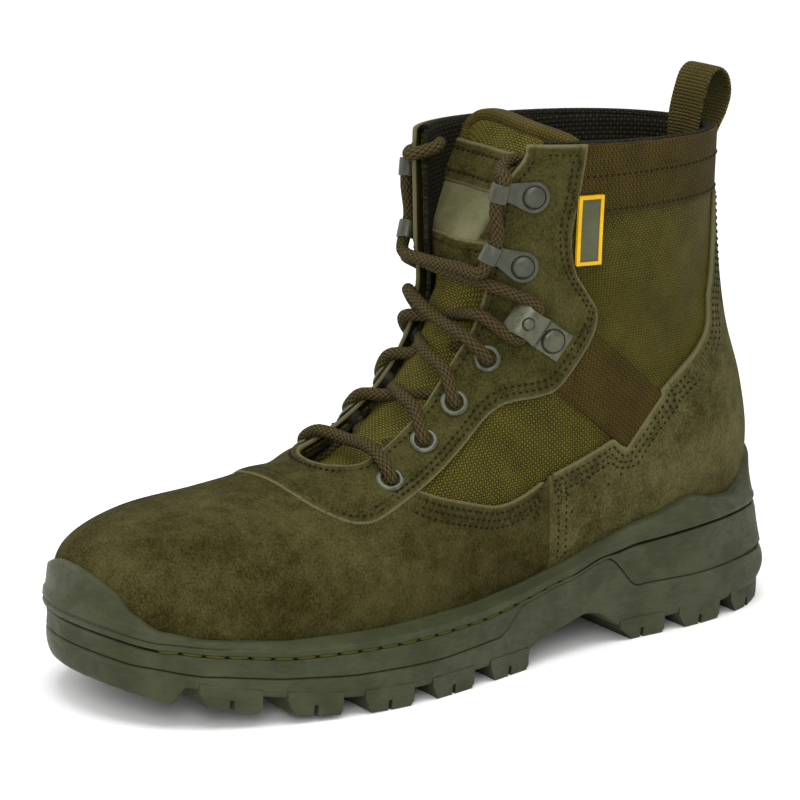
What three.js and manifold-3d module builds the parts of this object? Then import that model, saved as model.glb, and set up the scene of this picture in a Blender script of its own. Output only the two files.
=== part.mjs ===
// A left military boot, in millimetres: suede and nylon upper on a lugged rubber sole.
// The boot is modelled with x from the heel to the toe, y towards the outer side and z up,
// then turned so that its toe faces -Y.
import * as THREE from 'three';
import { mergeVertices } from 'three/addons/utils/BufferGeometryUtils.js';
import Module from 'manifold-3d';

const wasm = await Module();
wasm.setup();

// Driving dimensions
const footLength = 302;
const collarHeight = 192;
const soleBallWidth = 109;
const soleMargin = 4.5;
const heelStack = 41;
const toeSpring = 15.4;
const heelBevel = 4;
const lugHeight = 6;
const lugWidth = 18;
const lugPitch = 29;
const wall = 2.2;
const suede = 1.6;
const gap = 0.3;
const randLip = 2.2;
const channelDepth = 1.4;
const heelFlare = 2.5;
const insoleThickness = 4;
const throatInstep = 18;
const throatTop = 26;
const innerLap = 5;
const tongueThickness = 6;
const coverHeight = 46;
const coverHalf = 23;
const coverDrop = 7;
const badgeHeight = 18;
const badgeHalf = 15;
const badgeDrop = 14;
const badgeThickness = 1.4;
const bandHeight = 27;
const strapWidth = 25;
const loopWidth = 18;
const loopRise = 20;
const webbing = 1.6;
const eyeletRadius = 5;
const eyeletHole = 2.9;
const rivetRadius = 4;
const hookPlate = 1.2;
const hookHeight = 11;
const bridgeLength = 14;
const bridgeRise = 5;
const laceRadius = 2.6;
const tagWidth = 10;
const tagHeight = 26;
const tagLap = 8;
const tagThickness = 1.2;
const loopStand = 1.3;
const seatLift = 0.4;

// Further out than any piece, for cuts that go right through
const beyond = 2 * footLength;

// The upper keeps inside the sole by the margin on each side
const upperBallWidth = soleBallWidth - 2 * soleMargin;

// Depths below the suede's outer surface
const baseDepth = suede + gap;
const liningDepth = baseDepth + wall;

// Sections of the upper, from the toe tip to above the collar. Each lies in a plane across the boot, from a
// point on the bottom or back line to one on the top or front line. Lengths are shares of footLength (x),
// collarHeight (z) and upperBallWidth (widths); widest says how far from the back line it is widest.
const sectionRows = [
  // backX, backZ, frontX, frontZ, outer, inner, widest, backRound, frontRound, middle
  [0.988, 0.146, 0.987, 0.208, 0.04, 0.04, 0.55, 2.4, 2.2, -0.065],
  [0.976, 0.104, 0.973, 0.290, 0.20, 0.20, 0.55, 2.8, 2.2, -0.068],
  [0.948, 0.073, 0.940, 0.328, 0.335, 0.31, 0.55, 3.2, 2.2, -0.075],
  [0.880, 0.057, 0.866, 0.356, 0.445, 0.41, 0.54, 3.4, 2.2, -0.065],
  [0.788, 0.052, 0.772, 0.372, 0.49, 0.455, 0.50, 3.8, 2.1, -0.045],
  [0.695, 0.052, 0.685, 0.398, 0.50, 0.470, 0.45, 4.0, 2.0, -0.025],
  [0.596, 0.062, 0.609, 0.445, 0.48, 0.425, 0.40, 4.0, 2.0, -0.02],
  [0.497, 0.078, 0.554, 0.513, 0.45, 0.370, 0.36, 3.8, 2.0, -0.02],
  [0.397, 0.099, 0.526, 0.585, 0.41, 0.340, 0.34, 3.6, 2.0, -0.015],
  [0.291, 0.120, 0.512, 0.638, 0.385, 0.35, 0.36, 3.2, 2.0, -0.01],
  [0.182, 0.135, 0.507, 0.684, 0.375, 0.36, 0.40, 2.8, 2.0, 0],
  [0.082, 0.160, 0.505, 0.727, 0.375, 0.37, 0.44, 2.4, 2.0, 0],
  [0.024, 0.222, 0.505, 0.765, 0.38, 0.38, 0.46, 2.2, 2.0, 0],
  [0.011, 0.323, 0.507, 0.802, 0.385, 0.39, 0.48, 2.2, 2.0, 0],
  [0.024, 0.448, 0.507, 0.839, 0.38, 0.385, 0.50, 2.2, 2.0, 0],
  [0.051, 0.573, 0.507, 0.875, 0.375, 0.38, 0.50, 2.2, 2.0, 0],
  [0.067, 0.698, 0.507, 0.911, 0.375, 0.38, 0.50, 2.2, 2.0, 0],
  [0.077, 0.833, 0.507, 0.956, 0.38, 0.385, 0.50, 2.2, 2.0, 0],
  [0.078, 0.984, 0.505, 1.008, 0.39, 0.395, 0.50, 2.2, 2.0, 0],
  [0.079, 1.125, 0.503, 1.125, 0.395, 0.40, 0.50, 2.2, 2.0, 0],
];
const collarRow = sectionRows.length - 2;

// Outline of the sole seen from above: x as a share of footLength, outer and inner edge as shares of
// soleBallWidth
const outlineRows = [
  [0.000, -0.018, -0.018],
  [0.010, 0.147, -0.165],
  [0.046, 0.284, -0.284],
  [0.149, 0.367, -0.358],
  [0.281, 0.376, -0.349],
  [0.397, 0.404, -0.345],
  [0.513, 0.468, -0.380],
  [0.622, 0.514, -0.450],
  [0.722, 0.505, -0.486],
  [0.811, 0.452, -0.492],
  [0.887, 0.370, -0.456],
  [0.947, 0.266, -0.382],
  [0.985, 0.135, -0.262],
  [1.000, -0.070, -0.070],
];

// Heights along the sole as shares of heelStack at shares of footLength: the stitched channel under the
// upper, and the parting line between midsole and outsole
const channelRows = [[0, 1], [0.14, 0.97], [0.26, 0.915], [0.32, 0.855], [0.38, 0.74], [0.457, 0.655],
  [0.53, 0.6], [0.66, 0.583], [0.795, 0.593], [0.874, 0.65], [0.94, 0.71], [1, 0.825]];
const partingRows = [[0, 0.54], [0.17, 0.505], [0.25, 0.515], [0.5, 0.383], [0.6, 0.354], [0.715, 0.37],
  [0.79, 0.407], [0.89, 0.476], [0.957, 0.556], [1, 0.63]];
// Underside of the sole between its lugs, in lug heights above the ground at shares of footLength, without
// the toe spring
const rootRows = [[0, 1], [0.29, 1], [0.33, 2.25], [0.348, 2.4], [0.394, 1.87], [0.424, 1.6], [0.457, 1],
  [1, 1]];
// Rise of the rubber rand over the channel, as shares of its rise at toe and heel
const randRise = 19;
const randRows = [[0, 1], [0.02, 0.9], [0.05, 0.5], [0.09, 0.28], [0.13, 0.34], [0.18, 0.55], [0.24, 0.4],
  [0.33, 0.22], [0.45, 0.19], [0.6, 0.21], [0.75, 0.26], [0.9, 0.36], [0.94, 0.47], [0.965, 0.68],
  [0.98, 0.9], [1, 1]];

// Tongue, from under the vamp to its top: place along the sections, depth under the front line as a share of
// footLength, half width and edge drop as shares of upperBallWidth
const tongueRows = [
  [5.0, 0.030, 0.17, 0.04],
  [5.6, 0.030, 0.19, 0.05],
  [6.4, 0.028, 0.21, 0.07],
  [7.4, 0.028, 0.22, 0.09],
  [8.6, 0.028, 0.215, 0.12],
  [10.0, 0.034, 0.21, 0.12],
  [11.4, 0.040, 0.215, 0.13],
  [12.8, 0.050, 0.225, 0.14],
  [14.2, 0.063, 0.25, 0.14],
  [15.6, 0.083, 0.275, 0.13],
  [16.8, 0.103, 0.29, 0.10],
  [17.7, 0.124, 0.31, 0.08],
  [18.35, 0.136, 0.315, 0.06],
];

// Fittings: place along the sections and angle round them in degrees, 0 at the back line and 180 at the
// front line
const eyeletPlaces = [[5.9, 142], [6.8, 145], [7.9, 143], [9.7, 140]];
const hookPlaces = [[13.9, 132], [16.6, 126]];
const lockPlace = [11.8, 123];

// Arithmetic on tables
const clamp = (v, lo, hi) => Math.min(hi, Math.max(lo, v));

function splineRow(rows, at) {
  const i = clamp(Math.floor(at), 0, rows.length - 2);
  const t = at - i;
  return rows[0].map((_, c) => {
    const p1 = rows[i][c];
    const p2 = rows[i + 1][c];
    const p0 = i > 0 ? rows[i - 1][c] : 2 * p1 - p2;
    const p3 = i < rows.length - 2 ? rows[i + 2][c] : 2 * p2 - p1;
    return 0.5 * (2 * p1 + (p2 - p0) * t + (2 * p0 - 5 * p1 + 4 * p2 - p3) * t * t
      + (3 * p1 - p0 - 3 * p2 + p3) * t ** 3);
  });
}

function tableHeight(rows, share) {
  const s = clamp(share, 0, 1);
  const i = clamp(rows.findIndex((r) => r[0] >= s) - 1, 0, rows.length - 2);
  const t = (s - rows[i][0]) / (rows[i + 1][0] - rows[i][0]);
  const eased = t * t * (3 - 2 * t) * 0.5 + t * 0.5;
  return rows[i][1] + (rows[i + 1][1] - rows[i][1]) * eased;
}

const channelZ = (x) => heelStack * tableHeight(channelRows, x / footLength);
const partingZ = (x) => heelStack * tableHeight(partingRows, x / footLength);
const springStart = 0.66 * footLength;
const bevelStart = 0.05 * footLength;
const springZ = (x) => toeSpring * clamp((x - springStart) / (footLength - springStart), 0, 1) ** 1.6
  + heelBevel * clamp((bevelStart - x) / bevelStart, 0, 1) ** 1.5;
const rootZ = (x) => lugHeight * tableHeight(rootRows, x / footLength) + springZ(x);
const randTopZ = (x) => channelZ(x) + randRise * tableHeight(randRows, x / footLength);

// Solids
function toManifold(geometry) {
  const bare = geometry.clone();
  bare.deleteAttribute('normal');
  bare.deleteAttribute('uv');
  const merged = mergeVertices(bare, 1e-4);
  return new wasm.Manifold(new wasm.Mesh({
    numProp: 3,
    vertProperties: new Float32Array(merged.attributes.position.array),
    triVerts: new Uint32Array(merged.index.array),
  }));
}

function toGeometry(solid) {
  const mesh = solid.getMesh();
  const geometry = new THREE.BufferGeometry();
  geometry.setAttribute('position', new THREE.BufferAttribute(new Float32Array(mesh.vertProperties), 3));
  geometry.setIndex(new THREE.BufferAttribute(new Uint32Array(mesh.triVerts), 1));
  geometry.computeVertexNormals();
  return geometry;
}

// A closed skin through rings of points, each ring with as many points, closed at both ends by closeEnd
function ringSolid(rings, closeEnd = fanEnd) {
  const count = rings[0].length;
  const points = rings.flat();
  const faces = [];
  for (let r = 0; r < rings.length - 1; r += 1) {
    for (let i = 0; i < count; i += 1) {
      const j = (i + 1) % count;
      const [a, b, c, d] = [r * count + i, r * count + j, (r + 1) * count + j, (r + 1) * count + i];
      faces.push(a, b, c, a, c, d);
    }
  }
  const last = (rings.length - 1) * count;
  faces.push(...closeEnd(points, 0, count, true), ...closeEnd(points, last, count, false));
  const geometry = new THREE.BufferGeometry();
  const values = points.flatMap((p) => [p.x, p.y, p.z]);
  geometry.setAttribute('position', new THREE.Float32BufferAttribute(values, 3));
  geometry.setIndex(faces);
  return geometry;
}

// An end closed from its middle point
function fanEnd(points, first, count, flip) {
  const middle = new THREE.Vector3();
  for (let i = 0; i < count; i += 1) middle.add(points[first + i]);
  points.push(middle.divideScalar(count));
  const faces = [];
  for (let i = 0; i < count; i += 1) {
    const [a, b] = [first + i, first + ((i + 1) % count)];
    faces.push(...(flip ? [b, a, points.length - 1] : [a, b, points.length - 1]));
  }
  return faces;
}

// An end closed by strips across, between points that lie opposite each other
function stripEnd(points, first, count, flip) {
  const faces = [];
  const quad = (a, b, c, d) => faces.push(...(flip ? [a, c, b, a, d, c] : [a, b, c, a, c, d]));
  for (let i = 0; i < count / 2 - 1; i += 1) {
    const [a, b] = [first + i, first + i + 1];
    const [c, d] = [first + count - i - 1, first + ((count - i) % count)];
    if (i === 0) faces.push(...(flip ? [a, c, b] : [a, b, c]));
    else if (b === c) faces.push(...(flip ? [a, d, b] : [a, b, d]));
    else quad(a, b, c, d);
  }
  const half = first + count / 2;
  faces.push(...(flip ? [half - 1, half + 1, half] : [half - 1, half, half + 1]));
  return faces;
}

// A solid made by pushing a side view outline across the boot from y = near to y = far
function sidePrism(outline, near = -beyond, far = beyond) {
  const shape = new THREE.Shape(outline.map(([x, z]) => new THREE.Vector2(x, z)));
  const geometry = new THREE.ExtrudeGeometry(shape, { depth: far - near, bevelEnabled: false });
  geometry.rotateX(Math.PI / 2);
  geometry.translate(0, far, 0);
  return toManifold(geometry);
}

// A smooth open line through side view points
function smoothLine(points, steps) {
  const curve = new THREE.SplineCurve(points.map(([x, z]) => new THREE.Vector2(x, z)));
  return curve.getPoints(steps).map((p) => [p.x, p.y]);
}

// A closed outline moved outwards by a distance
function grown(outline, distance) {
  const count = outline.length;
  let area = 0;
  outline.forEach(([x, y], i) => {
    const [u, v] = outline[(i + 1) % count];
    area += x * v - u * y;
  });
  const side = Math.sign(area);
  return outline.map(([x, y], i) => {
    const [px, py] = outline[(i + count - 1) % count];
    const [nx, ny] = outline[(i + 1) % count];
    const before = new THREE.Vector2(y - py, px - x).normalize();
    const after = new THREE.Vector2(ny - y, x - nx).normalize();
    const mean = before.add(after);
    mean.multiplyScalar(2 / Math.max(mean.lengthSq(), 1));
    return [x + mean.x * side * distance, y + mean.y * side * distance];
  });
}

// The upper's form
function formPoint(at, angle) {
  const [bx, bz, fx, fz, outer, inner, widest, backRound, frontRound, middle] = splineRow(sectionRows, at);
  const cos = Math.cos(angle);
  const sin = Math.sin(angle);
  const round = 2 / (cos > 0 ? backRound : frontRound);
  const along = widest + (cos > 0 ? -widest : 1 - widest) * Math.abs(cos) ** round;
  const across = (sin > 0 ? outer : inner) * Math.sign(sin) * Math.abs(sin) ** round + middle;
  return new THREE.Vector3(
    footLength * (bx + (fx - bx) * along),
    upperBallWidth * across,
    collarHeight * (bz + (fz - bz) * along),
  );
}

function formNormal(at, angle) {
  const step = 0.02;
  const low = Math.max(at - step, 0);
  const high = Math.min(at + step, sectionRows.length - 1);
  const alongBoot = formPoint(high, angle).sub(formPoint(low, angle));
  const round = formPoint(at, angle + step).sub(formPoint(at, angle - step));
  const normal = alongBoot.cross(round).normalize();
  return at < 0.01 ? new THREE.Vector3(1, 0, 0) : normal;
}

// A point of the form, height above the suede's outer surface
function onForm(at, angle, height = 0) {
  return formPoint(at, angle).addScaledVector(formNormal(at, angle), height);
}

const formStations = [0, 0.4, 0.9, 1.6, 2.5, 3.5, 4.6, 5.7, 6.8, 7.9, 9, 10.2, 11.4, 12.7, 14.2, 15.8,
  17.4, 19];
const outerSides = 22;
const liningSides = 16;

function formGeometry(height, sides) {
  const rings = formStations.map((at) => {
    const ring = [];
    for (let i = 0; i < sides; i += 1) ring.push(onForm(at, (2 * Math.PI * i) / sides, height));
    return ring;
  });
  return ringSolid(rings.reverse());
}
const form = (height, sides = outerSides) => toManifold(formGeometry(height, sides));
const insideForm = (clearance) => form(-liningDepth - clearance, liningSides);

// The sole's outline, as a loop of points with the outer side first, moved inwards by inset(x)
function soleLoop(inset) {
  const stations = 18;
  const outer = [];
  const inner = [];
  for (let i = 0; i <= stations; i += 1) {
    const [x, yOuter, yInner] = splineRow(outlineRows, (i / stations) * (outlineRows.length - 1));
    outer.push([footLength * x, soleBallWidth * yOuter]);
    if (i > 0 && i < stations) inner.push([footLength * x, soleBallWidth * yInner]);
  }
  const loop = outer.concat(inner.reverse());
  const full = grown(loop, 1);
  return loop.map(([x, y], i) => {
    const amount = -inset(x);
    return [x + (full[i][0] - x) * amount, y + (full[i][1] - y) * amount];
  });
}

// A layer of the sole through levels, each with a height and an inset that may change along the boot
function soleLayer(levels) {
  const rings = levels.map(({ z, inset }) => soleLoop(inset).map(([x, y]) => new THREE.Vector3(x, y, z(x))));
  const geometry = ringSolid(rings.reverse(), stripEnd);
  return toManifold(geometry);
}
const even = (value) => () => value;
const heelWeight = (x) => clamp((0.2 * footLength - x) / (0.17 * footLength), 0, 1) ** 2;

// Side view outlines of the panels
const share = (points) => points.map(([x, z]) => [x * footLength, z * collarHeight]);
const eyestayEdge = smoothLine(share([
  [0.352, 1.12], [0.354, 1.0], [0.361, 0.9], [0.368, 0.82], [0.362, 0.755], [0.345, 0.71], [0.331, 0.67],
  [0.336, 0.62], [0.356, 0.567], [0.382, 0.525], [0.41, 0.514], [0.45, 0.507], [0.48, 0.485], [0.515, 0.442],
  [0.555, 0.4], [0.6, 0.365], [0.645, 0.338], [0.68, 0.334], [0.705, 0.347], [0.724, 0.372], [0.731, 0.41],
]), 19);
const eyestayOutline = eyestayEdge.concat(share([[0.74, 0.6], [0.6, 0.8], [0.6, 1.12]]));

const bandBottom = collarHeight - bandHeight;
const bandFront = 0.45 * footLength;
const bandOutline = [[-bandFront, bandBottom], [bandFront, bandBottom], [bandFront, 1.12 * collarHeight],
  [-bandFront, 1.12 * collarHeight]];

// The strap runs down and back from the eyestay; its lower end lies in a notch of the counter
const strapTopCorner = share([[0.348, 0.647]])[0];
const strapEndCorner = share([[0.215, 0.472]])[0];
const strapAlong = new THREE.Vector2(...strapEndCorner).sub(new THREE.Vector2(...strapTopCorner));
const strapLength = strapAlong.length();
strapAlong.normalize();
const strapAcross = new THREE.Vector2(-strapAlong.y, strapAlong.x);
const strapPoint = (along, across) => [
  strapTopCorner[0] + strapAlong.x * along + strapAcross.x * across,
  strapTopCorner[1] + strapAlong.y * along + strapAcross.y * across,
];
const strapOutline = [strapPoint(-25, 0), strapPoint(strapLength, 0), strapPoint(strapLength, strapWidth),
  strapPoint(-25, strapWidth)];

const counterEdge = smoothLine(share([
  [0.135, 0.66], [0.14, 0.605], [0.165, 0.565], [0.2, 0.53], [0.245, 0.475], [0.29, 0.42], [0.345, 0.385],
  [0.4, 0.358],
]), 11);
const vampSeam = 0.4 * footLength;
const counterOutline = share([[-0.05, 0.05], [-0.05, 0.86], [0.1, 0.86], [0.125, 0.7]])
  .concat(counterEdge, [[vampSeam, 0.05 * collarHeight]]);
const vampEdge = smoothLine(share([
  [0.4, 0.358], [0.44, 0.333], [0.48, 0.325], [0.53, 0.345], [0.57, 0.365],
]), 6);
const vampOutline = [[vampSeam + gap, 0]]
  .concat(vampEdge.map(([x, z], i) => (i === 0 ? [x + gap, z] : [x, z])))
  .concat(share([[0.66, 0.65], [1.1, 0.65], [1.1, 0]]));

// The throat: an opening with a round front end, through everything that lies on the front line
const throatFront = 5.25;
const throatRound = 0.55;
function throatHalfWidth(at, extra) {
  const open = throatInstep + (throatTop - throatInstep) * clamp((at - 9) / (collarRow - 9), 0, 1) + extra;
  const t = clamp((at - throatFront) / throatRound, 0, 1);
  return open * Math.sqrt(Math.max(1 - (1 - t) ** 2, 0.0004));
}

function throat(extra) {
  const stops = [0, 0.06, 0.2, 0.45, 1].map((t) => throatFront + t * throatRound);
  for (let at = throatFront + throatRound + 0.7; at < 19; at += 0.9) stops.push(at);
  const depth = 0.12 * footLength;
  const rings = stops.map((at) => {
    const front = formPoint(at, Math.PI);
    const inwards = formPoint(at, 0).sub(front).normalize();
    const lap = innerLap * clamp((at - 9) / (collarRow - 9), 0, 1);
    const corner = (side, reach) => front.clone().addScaledVector(inwards, reach)
      .add(new THREE.Vector3(0, side * (throatHalfWidth(at, extra) - (side < 0 ? lap : 0)), 0));
    return [corner(-1, -depth), corner(1, -depth), corner(1, depth), corner(-1, depth)];
  });
  return toManifold(ringSolid(rings));
}

// A frame at a place on the form: x forwards round the boot, z out of the surface
function placeFrame([at, degrees], inner, height) {
  const angle = THREE.MathUtils.degToRad(inner ? 360 - degrees : degrees);
  const normal = formNormal(at, angle);
  const ahead = onForm(at, angle + (inner ? -0.05 : 0.05)).sub(onForm(at, angle)).normalize();
  const across = normal.clone().cross(ahead).normalize();
  const matrix = new THREE.Matrix4().makeBasis(across.clone().cross(normal), across, normal);
  return matrix.setPosition(onForm(at, angle, height));
}

// The parts of the sole
// Everything below the floor on which the upper stands, raised by some extra height
function belowFloor(extra) {
  const line = [];
  for (let i = 0; i <= 16; i += 1) {
    const x = footLength * (i / 16);
    line.push([x, channelZ(x) + extra]);
  }
  const [heelZ, toeZ] = [line[0][1], line[line.length - 1][1]];
  return sidePrism([[-beyond, -beyond], [-beyond, heelZ], ...line, [beyond, toeZ], [beyond, -beyond]]);
}
const underUpper = belowFloor(gap);

const archFront = share([[0.475, 0.07], [0.452, 0.145]]);
const archBack = share([[0.3, 0.2], [0.245, 0.1]]);
const archOutline = [...archFront, ...share([[0.452, 0.3], [0.3, 0.3]]), ...archBack,
  ...share([[0.3, 0.0], [0.475, 0.0]])];
const archSlab = sidePrism(archOutline);
const wingInset = 5;

function midsole() {
  const full = soleLayer([
    { z: (x) => partingZ(x) + gap, inset: even(0.9) },
    { z: (x) => partingZ(x) + 1.2, inset: even(0) },
    { z: (x) => channelZ(x) - 2.4, inset: even(0) },
    { z: (x) => channelZ(x) - 1, inset: even(0.7) },
    { z: (x) => channelZ(x) - 1, inset: even(channelDepth + 1) },
    { z: (x) => channelZ(x) + 2, inset: even(channelDepth + 1) },
  ]).intersect(belowFloor(0));
  const core = soleLayer([{ z: even(0), inset: even(wingInset) }, { z: even(80), inset: even(wingInset) }]);
  return full.subtract(archSlab.subtract(core));
}

function archWings() {
  const full = soleLayer([
    { z: (x) => partingZ(x) - 2, inset: even(0) },
    { z: (x) => channelZ(x) - 1.6, inset: even(0) },
    { z: (x) => channelZ(x) - gap, inset: even(0.9) },
  ]);
  const core = soleLayer([
    { z: even(0), inset: even(wingInset - gap) }, { z: even(80), inset: even(wingInset - gap) },
  ]);
  const narrower = sidePrism(grown(archOutline, -gap));
  return full.intersect(narrower).subtract(core);
}

function lug(x0, x1, near, far) {
  const chamfer = 1.2;
  const deep = lugHeight + 3;
  const outline = [[x0 + chamfer, springZ(x0)], [x1 - chamfer, springZ(x1)], [x1, springZ(x1) + deep],
    [x0, springZ(x0) + deep]];
  return sidePrism(outline, near, far);
}

function outsole() {
  const flare = (amount) => (x) => -amount * heelWeight(x);
  const plate = soleLayer([
    { z: rootZ, inset: even(2) },
    { z: (x) => rootZ(x) + 1.5, inset: flare(heelFlare) },
    { z: (x) => Math.max(partingZ(x) - 1.2, rootZ(x) + 2), inset: flare(0.5 * heelFlare) },
    { z: partingZ, inset: even(0.9) },
  ]);
  const edge = soleLayer([
    { z: even(-1), inset: even(1.4) },
    { z: (x) => springZ(x) + lugHeight + 4, inset: (x) => -0.8 - heelFlare * heelWeight(x) },
  ]);
  const lugs = [];
  const forefoot = 0.45 * footLength;
  const centreStrip = 0.07 * soleBallWidth;
  for (let i = 0; i < 6; i += 1) {
    const x0 = forefoot + i * lugPitch;
    const x1 = Math.min(x0 + lugWidth, footLength);
    lugs.push(lug(x0, x1, centreStrip + 3, soleBallWidth), lug(x0, x1, -soleBallWidth, -centreStrip - 3));
    if (i < 5) lugs.push(lug(x0 + lugPitch / 2, x0 + lugPitch / 2 + lugWidth, -centreStrip, centreStrip));
  }
  for (let i = 0; i < 3; i += 1) {
    const x1 = 0.292 * footLength - i * lugPitch;
    const x0 = x1 - lugWidth - 4;
    lugs.push(lug(x0, x1, centreStrip + 1, soleBallWidth), lug(x0, x1, -soleBallWidth, -centreStrip - 1));
  }
  lugs.push(lug(0.2 * footLength, 0.25 * footLength, -centreStrip + 1, centreStrip - 1));
  const ribs = [];
  for (let i = 0; i < 4; i += 1) {
    const x = (0.355 + 0.02 * i) * footLength;
    const bottom = rootZ(x) - 0.5;
    const outline = [[x - 1.2, bottom], [x + 1.2, bottom], [x + 1.2, bottom + 11], [x - 1.2, bottom + 10]];
    ribs.push(sidePrism(outline));
  }
  const ribEdge = soleLayer([{ z: even(0), inset: even(-1) }, { z: even(80), inset: even(-1) }]);
  const ribCore = soleLayer([{ z: even(-1), inset: even(3) }, { z: even(81), inset: even(3) }]);
  const tread = wasm.Manifold.union(lugs).intersect(edge);
  const ribbing = wasm.Manifold.union(ribs).intersect(ribEdge.subtract(ribCore));
  return wasm.Manifold.union([plate, tread, archWings(), ribbing]);
}

// The rand: a rubber skirt from the channel up to a lip on the suede
function rand() {
  const bothSides = new THREE.MeshBasicMaterial({ side: THREE.DoubleSide });
  const skin = new THREE.Mesh(formGeometry(0, outerSides), bothSides);
  const ray = new THREE.Raycaster();
  const edge = soleLoop(even(0));
  const inner = soleLoop(even(1));
  const rings = [[], [], [], [], [], []];
  edge.forEach(([x, y], i) => {
    const inwards = new THREE.Vector3(inner[i][0] - x, inner[i][1] - y, 0).normalize();
    const top = randTopZ(x);
    const start = new THREE.Vector3(x, y, top).addScaledVector(inwards, -20);
    ray.set(start, inwards);
    const hit = ray.intersectObject(skin)[0];
    const reach = hit ? hit.distance - 20 : 6;
    const at = (inset, z) => new THREE.Vector3(x, y, z).addScaledVector(inwards, inset);
    const base = channelZ(x);
    const lip = Math.max(reach - randLip, 0.4);
    rings[0].push(at(reach + 9, base));
    rings[1].push(at(channelDepth, base));
    rings[2].push(at(Math.min(0.6, lip), base + 1.6));
    rings[3].push(at(0.55 * lip, base + 0.6 * (top - base)));
    rings[4].push(at(lip, top));
    rings[5].push(at(reach + 9, top));
  });
  return toManifold(torusSolid(rings)).subtract(form(gap)).subtract(underUpper);
}

// A closed ring-shaped skin: rings of points, the last joined to the first
function torusSolid(rings) {
  const count = rings[0].length;
  const points = rings.flat();
  const faces = [];
  rings.forEach((_, r) => {
    const next = (r + 1) % rings.length;
    for (let i = 0; i < count; i += 1) {
      const j = (i + 1) % count;
      const [a, b, c, d] = [r * count + i, r * count + j, next * count + j, next * count + i];
      faces.push(a, c, b, a, d, c);
    }
  });
  const geometry = new THREE.BufferGeometry();
  const values = points.flatMap((p) => [p.x, p.y, p.z]);
  geometry.setAttribute('position', new THREE.Float32BufferAttribute(values, 3));
  geometry.setIndex(faces);
  return geometry;
}

// Everything above the collar line, and the hole of each eyelet
const collarBack = formPoint(collarRow, 0);
const collarFront = formPoint(collarRow, Math.PI);
function aboveCollar(extra) {
  const slope = (collarFront.z - collarBack.z) / (collarFront.x - collarBack.x);
  const z = (x) => collarBack.z + slope * (x - collarBack.x) + extra;
  return sidePrism([[-beyond, z(-beyond)], [beyond, z(beyond)], [beyond, beyond], [-beyond, beyond]]);
}

const bothFrames = (place) => [placeFrame(place, false, 0), placeFrame(place, true, 0)];
const eyeletFrames = eyeletPlaces.flatMap(bothFrames);
const barrelRadius = eyeletHole + 0.5;
const holeSides = 6;
function eyeletHoles() {
  const radius = (barrelRadius + gap) / Math.cos(Math.PI / holeSides);
  const holes = eyeletFrames.map((frame) => {
    const hole = new THREE.CylinderGeometry(radius, radius, 22, holeSides);
    hole.rotateX(Math.PI / 2);
    hole.applyMatrix4(frame);
    return toManifold(hole);
  });
  return wasm.Manifold.union(holes);
}
const holes = eyeletHoles();

// The upper's base and its panels
function upper() {
  return form(-baseDepth).subtract(insideForm(0)).subtract(aboveCollar(0)).subtract(underUpper)
    .subtract(throat(1)).subtract(holes);
}

const suedeLayer = form(0).subtract(form(-suede)).subtract(aboveCollar(0)).subtract(underUpper);
const panel = (outline, near, far) => suedeLayer.intersect(sidePrism(outline, near, far));
const without = (solid, outline) => solid.subtract(sidePrism(grown(outline, gap)));

const eyestay = () => panel(eyestayOutline).subtract(throat(0)).subtract(holes);
const collarBand = () => without(panel(bandOutline), eyestayOutline);
const strap = (near, far) => without(panel(strapOutline, near, far), eyestayOutline);
const counter = () => without(without(panel(counterOutline), strapOutline), bandOutline);
const vamp = () => without(panel(vampOutline).subtract(throat(0)), eyestayOutline);

function insole() {
  return insideForm(gap).intersect(belowFloor(gap + insoleThickness)).subtract(underUpper);
}

// The tongue and what is sewn on it: a curved pad with its own camber, kept inside the lining
const tongueStart = tongueRows[0][0];
const tongueEnd = tongueRows[tongueRows.length - 1][0];
const clearOfLining = insideForm(gap);

function tongueSlice(at, from, to) {
  const row = clamp(tongueRows.findIndex((r) => r[0] >= at) - 1, 0, tongueRows.length - 2);
  const t = clamp((at - tongueRows[row][0]) / (tongueRows[row + 1][0] - tongueRows[row][0]), 0, 1);
  const [, depth, half, drop] = splineRow(tongueRows, row + t);
  const front = formPoint(at, Math.PI);
  const inwards = formPoint(at, 0).sub(front).normalize();
  const middle = splineRow(sectionRows, at)[9];
  const steps = 4;
  const place = (k, level) => {
    const y = (2 * k) / steps - 1;
    const inset = depth * footLength + drop * upperBallWidth * y ** 2 - level;
    return new THREE.Vector3(front.x + inwards.x * inset, (middle + y * half) * upperBallWidth,
      front.z + inwards.z * inset);
  };
  const points = [];
  for (let k = 0; k <= steps; k += 1) points.push(place(k, to));
  for (let k = steps; k >= 0; k -= 1) points.push(place(k, from));
  return points;
}

// A layer of the tongue between two levels over its face
function tongueLayer(from, to) {
  const slices = [];
  const count = 11;
  for (let i = 0; i <= count; i += 1) {
    slices.push(tongueSlice(tongueStart + ((tongueEnd - tongueStart) * i) / count, from, to));
  }
  return toManifold(ringSolid(slices)).intersect(clearOfLining);
}

const tongue = () => tongueLayer(-tongueThickness, 0);
const block = (lowZ, highZ, halfWidth) => (
  sidePrism([[0, lowZ], [footLength, lowZ], [footLength, highZ], [0, highZ]], -halfWidth, halfWidth));
const coverTop = collarHeight - coverDrop;
const patchGap = 0.5;
const onTongue = (low, high) => tongueLayer(-tongueThickness, high)
  .subtract(tongueLayer(-tongueThickness - 1, low));
const tongueCover = () => onTongue(patchGap, patchGap + suede)
  .intersect(block(coverTop - coverHeight, coverTop, coverHalf));
const badgeTop = coverTop - badgeDrop;
const tongueBadge = () => onTongue(2 * patchGap + suede, 2 * patchGap + suede + badgeThickness)
  .intersect(block(badgeTop - badgeHeight, badgeTop, badgeHalf));

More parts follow.
